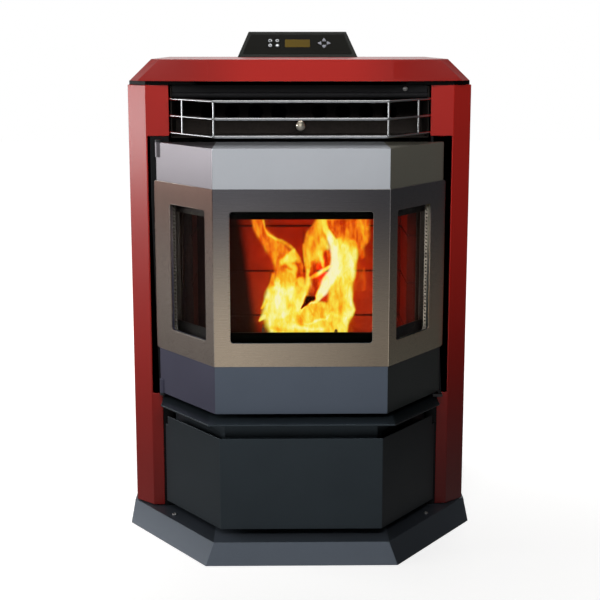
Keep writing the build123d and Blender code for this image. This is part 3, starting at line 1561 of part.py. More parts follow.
tube_inner_radius = auger_tube_radius - auger_tube_wall
throat_width = 2 * (hopper_mouth_half_width - sheet)
throat_length = mouth_length - 2 * sheet
with BuildPart() as auger_tube:
    with BuildSketch(auger_plane(0)):
        Circle(auger_tube_radius)
    extrude(amount=auger_length)
    with BuildSketch(auger_plane(auger_tube_wall)):
        Circle(tube_inner_radius)
    extrude(amount=auger_length, mode=Mode.SUBTRACT)
    with BuildSketch(auger_plane(0)):
        Circle(auger_shaft_radius + running_gap)
    extrude(amount=auger_tube_wall, mode=Mode.SUBTRACT)
    with BuildSketch(Plane.XY.offset(hopper_mouth_z)):
        with Locations((0, mouth_mid_y)):
            Rectangle(throat_width, throat_length)
    extrude(amount=auger_foot_z + auger_foot_y - mouth_mid_y - hopper_mouth_z, mode=Mode.SUBTRACT)
    # front end cut plumb, flush with the brick
    with BuildSketch(Plane.XZ.offset(-brick_front_y)):
        with Locations((0, auger_foot_z + auger_length)):
            Rectangle(auger_cut_width, auger_cut_height)
    extrude(amount=auger_cut_width, mode=Mode.SUBTRACT)
finish(auger_tube, "auger_tube")

screw_start = auger_tube_wall + 1
screw_length = auger_length - screw_back_gap
screw_turns = screw_length / auger_pitch
with BuildPart() as auger_screw:
    with BuildSketch(auger_plane(screw_start)) as flight:
        with Locations(((auger_screw_radius + auger_shaft_radius / 2) / 2, 0)):
            Rectangle(auger_screw_radius - auger_shaft_radius / 2, auger_blade)
    add(
        Solid.extrude_linear_with_rotation(
            flight.sketch.faces()[0],
            center=auger_plane(screw_start).origin,
            normal=auger_up * screw_length,
            angle=360 * screw_turns,
        )
    )
    with BuildSketch(auger_plane(-gearbox_length / 2)):
        Circle(auger_shaft_radius)
    extrude(amount=gearbox_length / 2 + screw_start + screw_length)
finish(auger_screw, "auger_screw")

with BuildPart() as auger_gearmotor:
    with BuildSketch(auger_plane(0)):
        Rectangle(2 * gearbox_half_width, gearbox_height)
    extrude(amount=-gearbox_length)
    with BuildSketch(auger_plane(0)):
        Circle(auger_shaft_radius + running_gap)
    extrude(amount=-gearbox_length / 2 - 1, mode=Mode.SUBTRACT)
    motor_centre = auger_plane(-gearbox_length / 2).origin
    with BuildSketch(Plane(origin=motor_centre + Vector(gearbox_half_width, 0, 0), z_dir=(1, 0, 0))):
        Circle(gear_motor_radius)
    extrude(amount=gear_motor_length)
finish(auger_gearmotor, "auger_gearmotor")

# ---- exhaust blower --------------------------------------------------------------

exhaust_front_x = exhaust_x - exhaust_width / 2
exhaust_side_x = exhaust_x + exhaust_width / 2
exhaust_axle_radius = 4.0
spigot_length = 20.0
spigot_radius = exhaust_inner_radius - exhaust_pipe_wall - seat_gap


def scroll_plane(x):
    """Plane square to both blowers' axles: x is depth, y is height."""
    return Plane(origin=(x, 0, 0), x_dir=(0, 1, 0), z_dir=(1, 0, 0))


duct_start_y = exhaust_y + outlet_start
outlet_plate = 2 * (exhaust_pipe_radius + outlet_frame)
duct_end_y = inner_back_y - spigot_length
with BuildPart() as exhaust_blower:
    with BuildSketch(scroll_plane(exhaust_front_x)):
        with Locations((exhaust_y, exhaust_z)):
            Circle(exhaust_scroll_radius)
    extrude(amount=exhaust_width)
    with BuildSketch(Plane.XZ.offset(-duct_start_y)):
        with Locations((exhaust_x, exhaust_pipe_z)):
            Rectangle(exhaust_width, 2 * spigot_radius)
    extrude(amount=duct_start_y - duct_end_y)
    with BuildSketch(Plane.XZ.offset(-duct_end_y)):
        with Locations((exhaust_x, exhaust_pipe_z)):
            RectangleRounded(outlet_plate, outlet_plate, outlet_frame)
    extrude(amount=exhaust_wall)
    with BuildSketch(Plane.XZ.offset(-duct_end_y)):
        with Locations((exhaust_x, exhaust_pipe_z)):
            Circle(spigot_radius)
    extrude(amount=-spigot_length)
    with BuildSketch(Plane.XY.offset(base_height)):
        with Locations((exhaust_x, exhaust_y)):
            Rectangle(exhaust_width, exhaust_scroll_radius)
    extrude(amount=exhaust_z - exhaust_scroll_radius - base_height + foot_overlap)
    with BuildSketch(scroll_plane(exhaust_front_x + exhaust_wall)):
        with Locations((exhaust_y, exhaust_z)):
            Circle(exhaust_scroll_radius - exhaust_wall)
    extrude(amount=exhaust_width - 2 * exhaust_wall, mode=Mode.SUBTRACT)
    with BuildSketch(Plane.XZ.offset(-duct_start_y)):
        with Locations((exhaust_x, exhaust_pipe_z)):
            Rectangle(exhaust_width - 2 * exhaust_wall, 2 * (spigot_radius - exhaust_wall))
    extrude(amount=duct_start_y - duct_end_y, mode=Mode.SUBTRACT)
    with BuildSketch(Plane.XZ.offset(-duct_end_y + exhaust_wall)):
        with Locations((exhaust_x, exhaust_pipe_z)):
            Circle(spigot_radius - exhaust_wall)
    extrude(amount=-spigot_length - exhaust_wall, mode=Mode.SUBTRACT)
    # motor on the inner side, gas inlet duct on the outer side up to the firebox
    with BuildSketch(scroll_plane(exhaust_side_x)):
        with Locations((exhaust_y, exhaust_z)):
            Circle(exhaust_motor_radius)
    extrude(amount=exhaust_motor_length)
    with BuildSketch(scroll_plane(exhaust_side_x - exhaust_wall)):
        with Locations((exhaust_y, exhaust_z)):
            Circle(exhaust_axle_radius + running_gap)
    extrude(amount=exhaust_wall + axle_passage, mode=Mode.SUBTRACT)
    with BuildSketch(scroll_plane(exhaust_front_x)):
        with BuildLine():
            Polyline(
                (firebox_back_y, firebox_bottom_z + gas_duct_low),
                (firebox_back_y, firebox_bottom_z + gas_duct_high),
                (exhaust_y + gas_duct_half, firebox_bottom_z + gas_duct_high),
                (exhaust_y + gas_duct_half, exhaust_z - gas_duct_half),
                (exhaust_y - gas_duct_half, exhaust_z - gas_duct_half),
                (exhaust_y - gas_duct_half, firebox_bottom_z + gas_duct_low),
                close=True,
            )
        make_face()
    extrude(amount=-gas_duct_width)
    with BuildSketch(scroll_plane(exhaust_front_x + exhaust_wall)):
        with Locations((exhaust_y, exhaust_z)):
            Circle(exhaust_eye_radius)
    extrude(amount=-exhaust_wall - cut_past, mode=Mode.SUBTRACT)
finish(exhaust_blower, "exhaust_blower")

wheel_start_x = exhaust_x - exhaust_wheel_width / 2
with BuildPart() as exhaust_impeller:
    with BuildSketch(scroll_plane(wheel_start_x)):
        with Locations((exhaust_y, exhaust_z)):
            Circle(impeller_hub_radius)
            with PolarLocations((exhaust_wheel_radius + impeller_rim) / 2, exhaust_blades):
                Rectangle(exhaust_wheel_radius - impeller_rim, blade_sheet)
    extrude(amount=exhaust_wheel_width)
    with BuildSketch(scroll_plane(wheel_start_x + exhaust_wheel_width)):
        with Locations((exhaust_y, exhaust_z)):
            Circle(exhaust_wheel_radius)
    extrude(amount=blade_sheet)
    with BuildSketch(scroll_plane(exhaust_x)):
        with Locations((exhaust_y, exhaust_z)):
            Circle(exhaust_axle_radius)
    extrude(amount=exhaust_width / 2 + axle_overrun)
finish(exhaust_impeller, "exhaust_impeller")

spigot_start_y = cabinet_back_y + spigot_start
exhaust_end_y = cabinet_back_y + exhaust_pipe_length
exhaust_start_y = inner_back_y - spigot_length
with BuildPart() as exhaust_pipe:
    with BuildSketch(Plane.XZ.offset(-exhaust_start_y)):
        with Locations((exhaust_x, exhaust_pipe_z)):
            Circle(exhaust_inner_radius)
    extrude(amount=exhaust_start_y - spigot_start_y)
    with BuildSketch(Plane.XZ.offset(-spigot_start_y)):
        with Locations((exhaust_x, exhaust_pipe_z)):
            Circle(exhaust_pipe_radius)
    extrude(amount=spigot_start_y - exhaust_end_y)
    with BuildSketch(Plane.XZ.offset(-exhaust_start_y)):
        with Locations((exhaust_x, exhaust_pipe_z)):
            Circle(exhaust_inner_radius - exhaust_pipe_wall)
    extrude(amount=exhaust_start_y - exhaust_end_y, mode=Mode.SUBTRACT)
finish(exhaust_pipe, "exhaust_pipe")

# ---- convection blower ---------------------------------------------------------

fan_start_x = fan_x - fan_width / 2
fan_axle_radius = 4.0
with BuildPart() as convection_blower:
    with BuildSketch(scroll_plane(fan_start_x)):
        with Locations((fan_y, fan_z)):
            Circle(fan_scroll_radius)
        with Locations((fan_y + fan_scroll_radius / 2, fan_z + fan_scroll_radius)):
            Rectangle(fan_scroll_radius, 2 * fan_scroll_radius)
    extrude(amount=fan_width)
    with BuildSketch(Plane.XY.offset(base_height)):
        with Locations((fan_x, fan_y)):
            Rectangle(fan_width, fan_scroll_radius)
    extrude(amount=fan_z - fan_scroll_radius - base_height + foot_overlap)
    with BuildSketch(scroll_plane(fan_start_x + fan_wall)):
        with Locations((fan_y, fan_z)):
            Circle(fan_scroll_radius - fan_wall)
        with Locations((fan_y + fan_scroll_radius / 2, fan_z + fan_scroll_radius)):
            Rectangle(fan_scroll_radius - 2 * fan_wall, 2 * fan_scroll_radius)
    extrude(amount=fan_width - 2 * fan_wall, mode=Mode.SUBTRACT)
    with BuildSketch(scroll_plane(fan_start_x)):
        with Locations((fan_y, fan_z)):
            Circle(fan_wheel_radius - fan_ring_width)
    extrude(amount=fan_wall, mode=Mode.SUBTRACT)
    with BuildSketch(scroll_plane(fan_start_x + fan_width)):
        with Locations((fan_y, fan_z)):
            Circle(fan_motor_radius)
    extrude(amount=fan_motor_length)
    with BuildSketch(scroll_plane(fan_start_x + fan_width - fan_wall)):
        with Locations((fan_y, fan_z)):
            Circle(fan_axle_radius + running_gap)
    extrude(amount=fan_wall + axle_passage, mode=Mode.SUBTRACT)
finish(convection_blower, "convection_blower")

fan_wheel_start = fan_x - fan_wheel_width / 2
blade_ring_radius = fan_wheel_radius - fan_ring_width / 2
with BuildPart() as convection_wheel:
    with BuildSketch(scroll_plane(fan_wheel_start)):
        with Locations((fan_y, fan_z)):
            Circle(fan_wheel_radius)
            Circle(fan_wheel_radius - fan_ring_width, mode=Mode.SUBTRACT)
    extrude(amount=blade_sheet)
    with BuildSketch(scroll_plane(fan_wheel_start + fan_wheel_width - blade_sheet)):
        with Locations((fan_y, fan_z)):
            Circle(fan_wheel_radius)
    extrude(amount=blade_sheet)
    with BuildSketch(scroll_plane(fan_wheel_start)):
        with Locations((fan_y, fan_z)):
            with PolarLocations(blade_ring_radius, fan_blades):
                Rectangle(fan_blade_width, fan_blade_sheet, rotation=fan_blade_angle)
    extrude(amount=fan_wheel_width)
    with BuildSketch(scroll_plane(fan_wheel_start + fan_wheel_width - fan_axle_seat)):
        with Locations((fan_y, fan_z)):
            Circle(fan_axle_radius)
    extrude(amount=fan_x + fan_width / 2 + axle_overrun - fan_wheel_start - fan_wheel_width + fan_axle_seat)
finish(convection_wheel, "convection_wheel")

# ---- air intake and power inlet ------------------------------------------------

intake_end_y = cabinet_back_y + intake_length
with BuildPart() as intake_pipe:
    with BuildSketch(Plane.XZ.offset(-firebox_back_y)):
        with Locations((intake_x, intake_z)):
            Circle(intake_inner_radius)
    extrude(amount=firebox_back_y - spigot_start_y)
    with BuildSketch(Plane.XZ.offset(-spigot_start_y)):
        with Locations((intake_x, intake_z)):
            Circle(intake_radius)
    extrude(amount=spigot_start_y - intake_end_y)
    with BuildSketch(Plane.XZ.offset(-firebox_back_y)):
        with Locations((intake_x, intake_z)):
            Circle(intake_inner_radius - intake_wall)
    extrude(amount=firebox_back_y - intake_end_y, mode=Mode.SUBTRACT)
finish(intake_pipe, "intake_pipe")

inlet_body_depth = 22.0
blade_length = 14.0
with BuildPart() as power_inlet:
    with BuildSketch(Plane.XZ.offset(-cabinet_back_y)):
        with Locations((inlet_x, inlet_z)):
            RectangleRounded(2 * inlet_half_width, 2 * inlet_half_height, inlet_flange)
    extrude(amount=-inlet_flange)
    with BuildSketch(Plane.XZ.offset(-cabinet_back_y)):
        with Locations((inlet_x, inlet_z)):
            Rectangle(2 * (inlet_half_width - inlet_body_inset), 2 * (inlet_half_height - inlet_body_inset))
    extrude(amount=inlet_body_depth)
    with BuildSketch(Plane.XZ.offset(-cabinet_back_y - inlet_flange)):
        with Locations((inlet_x, inlet_z)):
            RectangleRounded(
                2 * (inlet_half_width - inlet_well_x), 2 * (inlet_half_height - inlet_well_z), inlet_flange
            )
    extrude(amount=inlet_body_depth - contact_low, mode=Mode.SUBTRACT)
    with BuildSketch(Plane.XZ.offset(-cabinet_back_y + inlet_body_depth - contact_width)):
        with Locations(
            (inlet_x - contact_pitch, inlet_z - contact_low),
            (inlet_x + contact_pitch, inlet_z - contact_low),
            (inlet_x, inlet_z + contact_high),
        ):
            Rectangle(blade_sheet, contact_width)
    extrude(amount=-blade_length)
finish(power_inlet, "power_inlet")

# ---- screws --------------------------------------------------------------------

rear_screw_x = cabinet_half_width - rear_screw_inset
rear_screw_places = [(side * rear_screw_x, z) for side in (-1, 1) for z in rear_screw_levels]
with BuildPart() as panel_screws:
    with BuildSketch(Plane.XZ.offset(-cabinet_back_y)):
        with Locations(*rear_screw_places):
            Circle(screw_head_radius)
    extrude(amount=-screw_head_height)
    with BuildSketch(Plane.XY.offset(base_height)):
        with Locations((-base_screw_x, base_screw_y), (base_screw_x, base_screw_y)):
            Circle(screw_head_radius)
    extrude(amount=screw_head_height)
    with BuildSketch(Plane.XZ.offset(-cabinet_front_y)):
        with Locations((valance_screw_x, valance_screw_z)):
            Circle(screw_head_radius - 1)
    extrude(amount=screw_head_height)
finish(panel_screws, "panel_screws")
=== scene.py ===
import json
import math
from contextlib import contextmanager

import bmesh
import bpy
import numpy as np
from mathutils import Matrix, Vector, noise


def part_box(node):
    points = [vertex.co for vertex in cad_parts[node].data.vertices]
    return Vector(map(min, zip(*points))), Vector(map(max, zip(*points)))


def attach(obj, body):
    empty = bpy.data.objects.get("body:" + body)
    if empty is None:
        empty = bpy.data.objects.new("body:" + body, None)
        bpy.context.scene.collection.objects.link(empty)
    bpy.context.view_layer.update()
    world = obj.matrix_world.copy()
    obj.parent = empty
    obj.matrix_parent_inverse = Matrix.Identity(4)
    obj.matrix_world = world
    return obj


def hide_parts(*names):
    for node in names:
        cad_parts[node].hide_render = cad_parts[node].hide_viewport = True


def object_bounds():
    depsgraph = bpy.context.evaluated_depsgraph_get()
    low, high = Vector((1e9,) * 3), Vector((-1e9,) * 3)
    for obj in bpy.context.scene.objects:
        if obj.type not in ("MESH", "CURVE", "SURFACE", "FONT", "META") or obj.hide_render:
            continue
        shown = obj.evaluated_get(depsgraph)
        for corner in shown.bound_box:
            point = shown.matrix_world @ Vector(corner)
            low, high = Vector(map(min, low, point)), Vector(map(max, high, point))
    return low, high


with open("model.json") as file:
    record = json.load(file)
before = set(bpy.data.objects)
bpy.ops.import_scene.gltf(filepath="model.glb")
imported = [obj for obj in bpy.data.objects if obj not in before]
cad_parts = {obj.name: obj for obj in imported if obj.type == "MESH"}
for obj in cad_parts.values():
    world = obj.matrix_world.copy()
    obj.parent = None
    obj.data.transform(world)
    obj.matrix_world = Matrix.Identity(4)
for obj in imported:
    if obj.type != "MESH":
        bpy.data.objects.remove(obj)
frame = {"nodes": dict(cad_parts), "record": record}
cadLow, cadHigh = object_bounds()
nodes = frame["nodes"]
bodyOf = {node: body for body, held in frame["record"]["behaviour"]["bodies"].items() for node in held}
scene = bpy.context.scene
mm = 0.001
fullTurn = 2 * math.pi
mergeWithin = 0.00002
bay = dict(cornerX=138.0, frontY=-256.0, slope=0.70)   # the door's front corner and the run of its side faces
facetAlong = Vector((bay["slope"], 1, 0)).normalized()
facetOut = Vector((1, -bay["slope"], 0)).normalized()
upward = Vector((0, 0, 1))
print("frame loaded:", len(nodes), "nodes")


# objects and meshes

def addObject(name, data):
    made = bpy.data.objects.new(name, data)
    scene.collection.objects.link(made)
    return made


def meshObject(name, vertices, faces):
    mesh = bpy.data.meshes.new(name)
    mesh.from_pydata([tuple(v) for v in vertices], [], faces)
    mesh.update()
    return addObject(name, mesh)


def paint(piece, material):
    piece.data.materials.clear()
    piece.data.materials.append(material)


@contextmanager
def editing(mesh):
    work = bmesh.new()
    work.from_mesh(mesh)
    yield work
    work.to_mesh(mesh)
    work.free()


def smoothByAngle(mesh, degrees):
    with editing(mesh) as work:
        for face in work.faces:
            face.smooth = True
        for edge in work.edges:
            edge.smooth = len(edge.link_faces) == 2 and edge.calc_face_angle(0) < math.radians(degrees)


def evaluatedMesh(host, name):
    bpy.context.view_layer.update()
    graph = bpy.context.evaluated_depsgraph_get()
    mesh = bpy.data.meshes.new_from_object(host.evaluated_get(graph), depsgraph=graph)
    mesh.name = name
    return mesh


def settle(piece, body, stands=()):
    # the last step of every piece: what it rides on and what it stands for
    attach(piece, body)
    if stands:
        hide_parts(*stands)
    return piece


def dress(nodeName, material, edge=0.6, keepAngle=28):
    # a merged copy of a CAD node with rounded edges, edge in millimetres
    limits = dict(speck=0.00001, flat=0.4, smooth=40, segments=2, weight=100)
    mesh = nodes[nodeName].data.copy()
    with editing(mesh) as work:
        bmesh.ops.remove_doubles(work, verts=work.verts, dist=mergeWithin)
        bmesh.ops.dissolve_degenerate(work, dist=limits["speck"], edges=work.edges)
        flat = math.radians(limits["flat"])
        bmesh.ops.dissolve_limit(work, angle_limit=flat, verts=work.verts, edges=work.edges)
    smoothByAngle(mesh, limits["smooth"])
    host = addObject(nodeName + "Host", mesh)
    if edge:
        bevel = host.modifiers.new("edge", "BEVEL")
        bevel.width = edge * mm
        bevel.segments = limits["segments"]
        bevel.limit_method = "ANGLE"
        bevel.angle_limit = math.radians(keepAngle)
        host.modifiers.new("flats", "WEIGHTED_NORMAL").weight = limits["weight"]
    done = evaluatedMesh(host, nodeName + "Mesh")
    bpy.data.objects.remove(host)
    piece = addObject(nodeName + "Shell", done)
    paint(piece, material)
    return settle(piece, bodyOf[nodeName], [nodeName])


def show(material, *nodeNames):
    # CAD nodes that stay as they are and get a finish
    for nodeName in nodeNames:
        paint(nodes[nodeName], material)


# node trees

def feed(socket, value):
    # links another socket's value to an input, or sets a plain one
    if isinstance(value, bpy.types.NodeSocket):
        socket.id_data.links.new(value, socket)
    elif socket.type == "RGBA" and len(value) == 3:
        socket.default_value = (*value, 1)
    else:
        socket.default_value = value


def put(tree, kind, inputs=None, **settings):
    made = tree.nodes.new(kind)
    for key, value in settings.items():
        setattr(made, key, value)
    for key, value in (inputs or {}).items():
        feed(made.inputs[key], value)
    return made


def nodeGroup(name, kind, inputs, outputs):
    # a tree with its own sockets, given as a label, a kind and a value where there is one
    group = bpy.data.node_groups.new(name, kind)
    for label, socketKind, *value in inputs:
        socket = group.interface.new_socket(label, in_out="INPUT", socket_type="NodeSocket" + socketKind)
        if value:
            socket.default_value = value[0]
    for label, socketKind in outputs:
        group.interface.new_socket(label, in_out="OUTPUT", socket_type="NodeSocket" + socketKind)
    return group, group.nodes.new("NodeGroupInput").outputs, group.nodes.new("NodeGroupOutput").inputs


def calc(operation, *values, clamp=False):
    # the tree is that of the first socket among the values
    tree = next(value.id_data for value in values if isinstance(value, bpy.types.NodeSocket))
    made = put(tree, "ShaderNodeMath", dict(enumerate(values)), operation=operation, use_clamp=clamp)
    return made.outputs[0]


def product(first, *others):
    for value in others:
        first = calc("MULTIPLY", first, value)
    return first


def total(first, *others):
    for value in others:
        first = calc("ADD", first, value)
    return first


def minus(first, second):
    return calc("SUBTRACT", first, second)


def vector(operation, first, *second):
    # a factor goes to the fourth input, a second vector to the second one
    inputs = dict(zip((0, 3) if operation == "SCALE" else (0, 1), (first, *second)))
    made = put(first.id_data, "ShaderNodeVectorMath", inputs, operation=operation)
    return made.outputs["Value" if operation in ("DOT_PRODUCT", "LENGTH") else "Vector"]


def spread(value, low, high, toLow=0.0, toHigh=1.0, smooth=False):
    inputs = {"Value": value, "From Min": low, "From Max": high, "To Min": toLow, "To Max": toHigh}
    kind = "SMOOTHSTEP" if smooth else "LINEAR"
    return put(value.id_data, "ShaderNodeMapRange", inputs, interpolation_type=kind).outputs["Result"]


def mixColour(factor, first, second, blend="MIX"):
    made = put(factor.id_data, "ShaderNodeMix", data_type="RGBA", blend_type=blend)
    sockets = {socket.identifier: socket for socket in made.inputs}
    for key, value in (("Factor_Float", factor), ("A_Color", first), ("B_Color", second)):
        feed(sockets[key], value)
    return next(socket for socket in made.outputs if socket.identifier == "Result_Color")


def ramp(factor, stops):
    made = put(factor.id_data, "ShaderNodeValToRGB", {"Fac": factor})
    elements = made.color_ramp.elements
    elements.remove(elements[1])
    elements[0].position = stops[0][0]
    elements[0].color = (*stops[0][1], 1)
    for place, colour in stops[1:]:
        elements.new(place).color = (*colour, 1)
    return made.outputs["Color"]


def objectPlace(tree):
    return put(tree, "ShaderNodeTexCoord").outputs["Object"]


def split(place):
    return put(place.id_data, "ShaderNodeSeparateXYZ", {0: place}).outputs


def cloud(place, scale, detail, distortion=0.0):
    inputs = {"Vector": place, "Scale": scale, "Detail": detail, "Distortion": distortion}
    return put(place.id_data, "ShaderNodeTexNoise", inputs).outputs["Fac"]


def roundedNormal(tree, radius):
    return put(tree, "ShaderNodeBevel", {"Radius": radius}, samples=4).outputs[0]


def bumped(height, strength, distance, normal=None):
    inputs = {"Strength": strength, "Distance": distance, "Height": height}
    if normal:
        inputs["Normal"] = normal
    return put(height.id_data, "ShaderNodeBump", inputs).outputs[0]


def newMaterial(name):
    material = bpy.data.materials.new(name)
    material.use_nodes = True
    tree = material.node_tree
    return material, tree, tree.nodes["Principled BSDF"]


def plainKey(label):
    return label.replace(" ", "").lower()


def plug(node, **inputs):
    # feeds a node's sockets by their names, with spaces left out
    sockets = {plainKey(socket.name): socket for socket in reversed(node.inputs)}
    for key, value in inputs.items():
        feed(sockets[key.lower()], value)


def useGroup(tree, group, **inputs):
    made = put(tree, "ShaderNodeGroup", node_tree=group)
    plug(made, **inputs)
    return made.outputs


# shared effects

def makeCoatGroup():
    # sprayed or moulded skin: mottled colour, fine grain in the normal, rounded edges
    group, given, out = nodeGroup(
        "sprayedSkin", "ShaderNodeTree",
        [("Base", "Color", (0.5, 0.5, 0.5, 1)), ("Mottle", "Float", 0.1), ("Grain Scale", "Float", 1500.0),
         ("Grain Depth", "Float", 0.15), ("Roughness", "Float", 0.4), ("Rounding", "Float", 0.0008)],
        [("Color", "Color"), ("Roughness", "Float"), ("Normal", "Vector")],
    )
    place = objectPlace(group)
    grain = cloud(place, given["Grain Scale"], 2.0)
    lift = product(minus(cloud(place, 14.0, 4.0), 0.5), given["Mottle"])
    fleck = product(minus(grain, 0.5), given["Mottle"])
    rounded = roundedNormal(group, given["Rounding"])
    feed(out["Color"], vector("SCALE", given["Base"], total(lift, fleck, 1.0)))
    feed(out["Roughness"], total(given["Roughness"], product(lift, 0.6)))
    feed(out["Normal"], bumped(grain, given["Grain Depth"], 0.0002, rounded))
    return group


def makeWearAndHighlightGroup():
    # where an edge is rubbed, and on the trim where its edges get a painted highlight:
    # the rounded normal leaves the flat one, broken up by noise
    group, given, out = nodeGroup(
        "edgeWearAndHighlight", "ShaderNodeTree",
        [("Width", "Float", 0.0015), ("Amount", "Float", 0.5), ("Break Up", "Float", 120.0)],
        [("Mask", "Float")],
    )
    flat = put(group, "ShaderNodeNewGeometry").outputs["Normal"]
    along = vector("DOT_PRODUCT", roundedNormal(group, given["Width"]), flat)
    patches = cloud(objectPlace(group), given["Break Up"], 5.0)
    bend = product(spread(along, 0.995, 0.85), spread(patches, 0.42, 0.62))
    feed(out["Mask"], calc("MULTIPLY", bend, given["Amount"], clamp=True))
    return group


def makeBrushGroup():
    # long fine scratches along X, as a belt leaves them, with smudges
    group, given, out = nodeGroup(
        "brushedGrain", "ShaderNodeTree",
        [("Scale", "Float", 900.0), ("Stretch", "Vector", (0.02, 1.0, 1.0)), ("Depth", "Float", 0.2)],
        [("Streak", "Float"), ("Smudge", "Float"), ("Normal", "Vector")],
    )
    place = objectPlace(group)
    streak = cloud(vector("MULTIPLY", place, given["Stretch"]), given["Scale"], 3.0)
    feed(out["Streak"], streak)
    feed(out["Smudge"], cloud(place, 22.0, 3.0))
    feed(out["Normal"], bumped(streak, given["Depth"], 0.0001, roundedNormal(group, 0.0006)))
    return group


coatGroup = makeCoatGroup()
wearAndHighlightGroup = makeWearAndHighlightGroup()
brushGroup = makeBrushGroup()
print("shared effects made")


# finishes

def sprayed(name, colour, roughness, mottle=0.12, grainScale=1500.0, grainDepth=0.12, wear=0.0,
            wearColour=(0.3, 0.3, 0.3), **sockets):
    material, tree, shader = newMaterial(name)
    skin = useGroup(
        tree, coatGroup, base=colour, roughness=roughness, mottle=mottle, grainScale=grainScale,
        grainDepth=grainDepth,
    )
    tone = skin["Color"]
    if wear:
        tone = mixColour(useGroup(tree, wearAndHighlightGroup, amount=wear)["Mask"], tone, wearColour)
    plug(shader, basecolor=tone, roughness=skin["Roughness"], normal=skin["Normal"], **sockets)
    return material


redEnamel = sprayed(
    "redEnamel", (0.232, 0.0062, 0.0034), 0.38, mottle=0.10, grainScale=1100.0, grainDepth=0.10,
    wear=0.25, wearColour=(0.42, 0.05, 0.045), specularIORLevel=0.28, coatweight=0.35, coatroughness=0.22,
)
satin = dict(mottle=0.22, grainScale=2200.0, grainDepth=0.10, wear=0.30, metallic=0.65)
# one dark grey paint in two copies: lighter on the plinth as painted light, darker on the ledge and drawer as
# painted shade
litPlinthPaint = sprayed("litPlinthPaint", (0.138, 0.163, 0.200), 0.42, wearColour=(0.16, 0.18, 0.2), **satin)
shadedGraphitePaint = sprayed("shadedGraphitePaint", (0.044, 0.058, 0.069), 0.40, wearColour=(0.10, 0.11, 0.12), **satin)
blackPaint = sprayed(
    "blackPaint", (0.006, 0.006, 0.0065), 0.45, mottle=0.2, grainDepth=0.15, specularIORLevel=0.1,
)
sheetBlack = sprayed(
    "sheetBlack", (0.016, 0.016, 0.017), 0.5, mottle=0.3, grainDepth=0.15, specularIORLevel=0.25,
)
boilerSteel = sprayed(
    "boilerSteel", (0.012, 0.010, 0.009), 0.8, mottle=0.9, grainScale=300.0, grainDepth=0.5,
    specularIORLevel=0.1,
)
housingPlastic = sprayed(
    "housingPlastic", (0.007, 0.0075, 0.006), 0.45, mottle=0.15, grainScale=2600.0, grainDepth=0.35,
    specularIORLevel=0.12,
)
motorBlack = sprayed("motorBlack", (0.02, 0.02, 0.022), 0.4, grainDepth=0.2)
inletPlastic = sprayed("inletPlastic", (0.012, 0.012, 0.012), 0.5, grainScale=2600.0, grainDepth=0.3)
zincSheet = sprayed(
    "zincSheet", (0.50, 0.51, 0.52), 0.36, mottle=0.35, grainScale=220.0, grainDepth=0.05, metallic=1.0,
)
potIron = sprayed("potIron", (0.035, 0.03, 0.028), 0.8, mottle=0.8, grainScale=420.0, grainDepth=0.8)
screwZinc = sprayed("screwZinc", (0.46, 0.46, 0.45), 0.3, mottle=0.2, grainDepth=0.1, metallic=1.0)
latchSteel = sprayed("latchSteel", (0.03, 0.03, 0.032), 0.4, mottle=0.3, metallic=0.6)
ropeCore = sprayed("ropeCore", (0.012, 0.010, 0.008), 0.9, mottle=0.5, grainDepth=0.4, specularIORLevel=0.1)
keyCap = sprayed("keyCap", (0.15, 0.155, 0.18), 0.4, mottle=0.1, grainScale=2600.0, grainDepth=0.1)
keyDark = sprayed("keyDark", (0.05, 0.055, 0.06), 0.35, mottle=0.1, grainScale=2600.0, grainDepth=0.1)
keyInk = sprayed("keyInk", (0.62, 0.64, 0.66), 0.45, mottle=0.05)


def shade(material, factor):
    # paints shade: multiplies a finish's colour by a factor that follows the place
    socket = material.node_tree.nodes["Principled BSDF"].inputs["Base Color"]
    feed(socket, vector("SCALE", socket.links[0].from_socket, factor))


def paintSideShade(material, corner, left, right, blur=0.0008):
    # painted shade: other factors on a bay's left and right faces; corner works out where they start from the
    # place
    place = split(objectPlace(material.node_tree))
    start = corner(place)
    before = spread(total(place["X"], start), -blur, 0.0, left, 1.0)
    past = spread(minus(place["X"], start), 0.0, blur, 1.0, right)
    shade(material, product(before, past))


def ledgeOrDrawer(place):
    level = dict(drawerTop=0.199, ledgeFoot=0.203, drawerCorner=0.1312, ledgeCorner=0.1482)
    return spread(place["Z"], *level.values())


def plinthCorner(place):
    plinth = dict(footCorner=0.154, slope=0.40)
    return minus(plinth["footCorner"], product(place["Z"], plinth["slope"]))


def paintShadeOnRed():
    # painted shade: darker towards the feet, most on the right side, and at the crown's ends
    red = dict(footLow=0.05, rightHigh=0.50, leftHigh=0.35, rightFoot=0.30, leftFoot=0.66, leftX=-0.05,
               rightX=0.15, crownZ=0.757, middleX=0.06, endX=0.20, ends=0.66)
    place = split(objectPlace(redEnamel.node_tree))
    foot = spread(place["Z"], red["footLow"], red["rightHigh"], red["rightFoot"], 1.0, smooth=True)
    paleFoot = spread(place["Z"], red["footLow"], red["leftHigh"], red["leftFoot"], 1.0, smooth=True)
    sides = spread(place["X"], red["leftX"], red["rightX"], paleFoot, foot)
    across = calc("ABSOLUTE", place["X"])
    ends = spread(across, red["middleX"], red["endX"], 1.0, red["ends"], smooth=True)
    shade(redEnamel, product(sides, spread(place["Z"], red["crownZ"], red["crownZ"] + 0.003, 1.0, ends)))


def sideMasks(across, blur=0.0005):
    # the left and the right face of the door
    corner = bay["cornerX"] * mm
    left = spread(across, -corner - blur, -corner + blur, 1.0, 0.0)
    return left, spread(across, corner - blur, corner + blur)


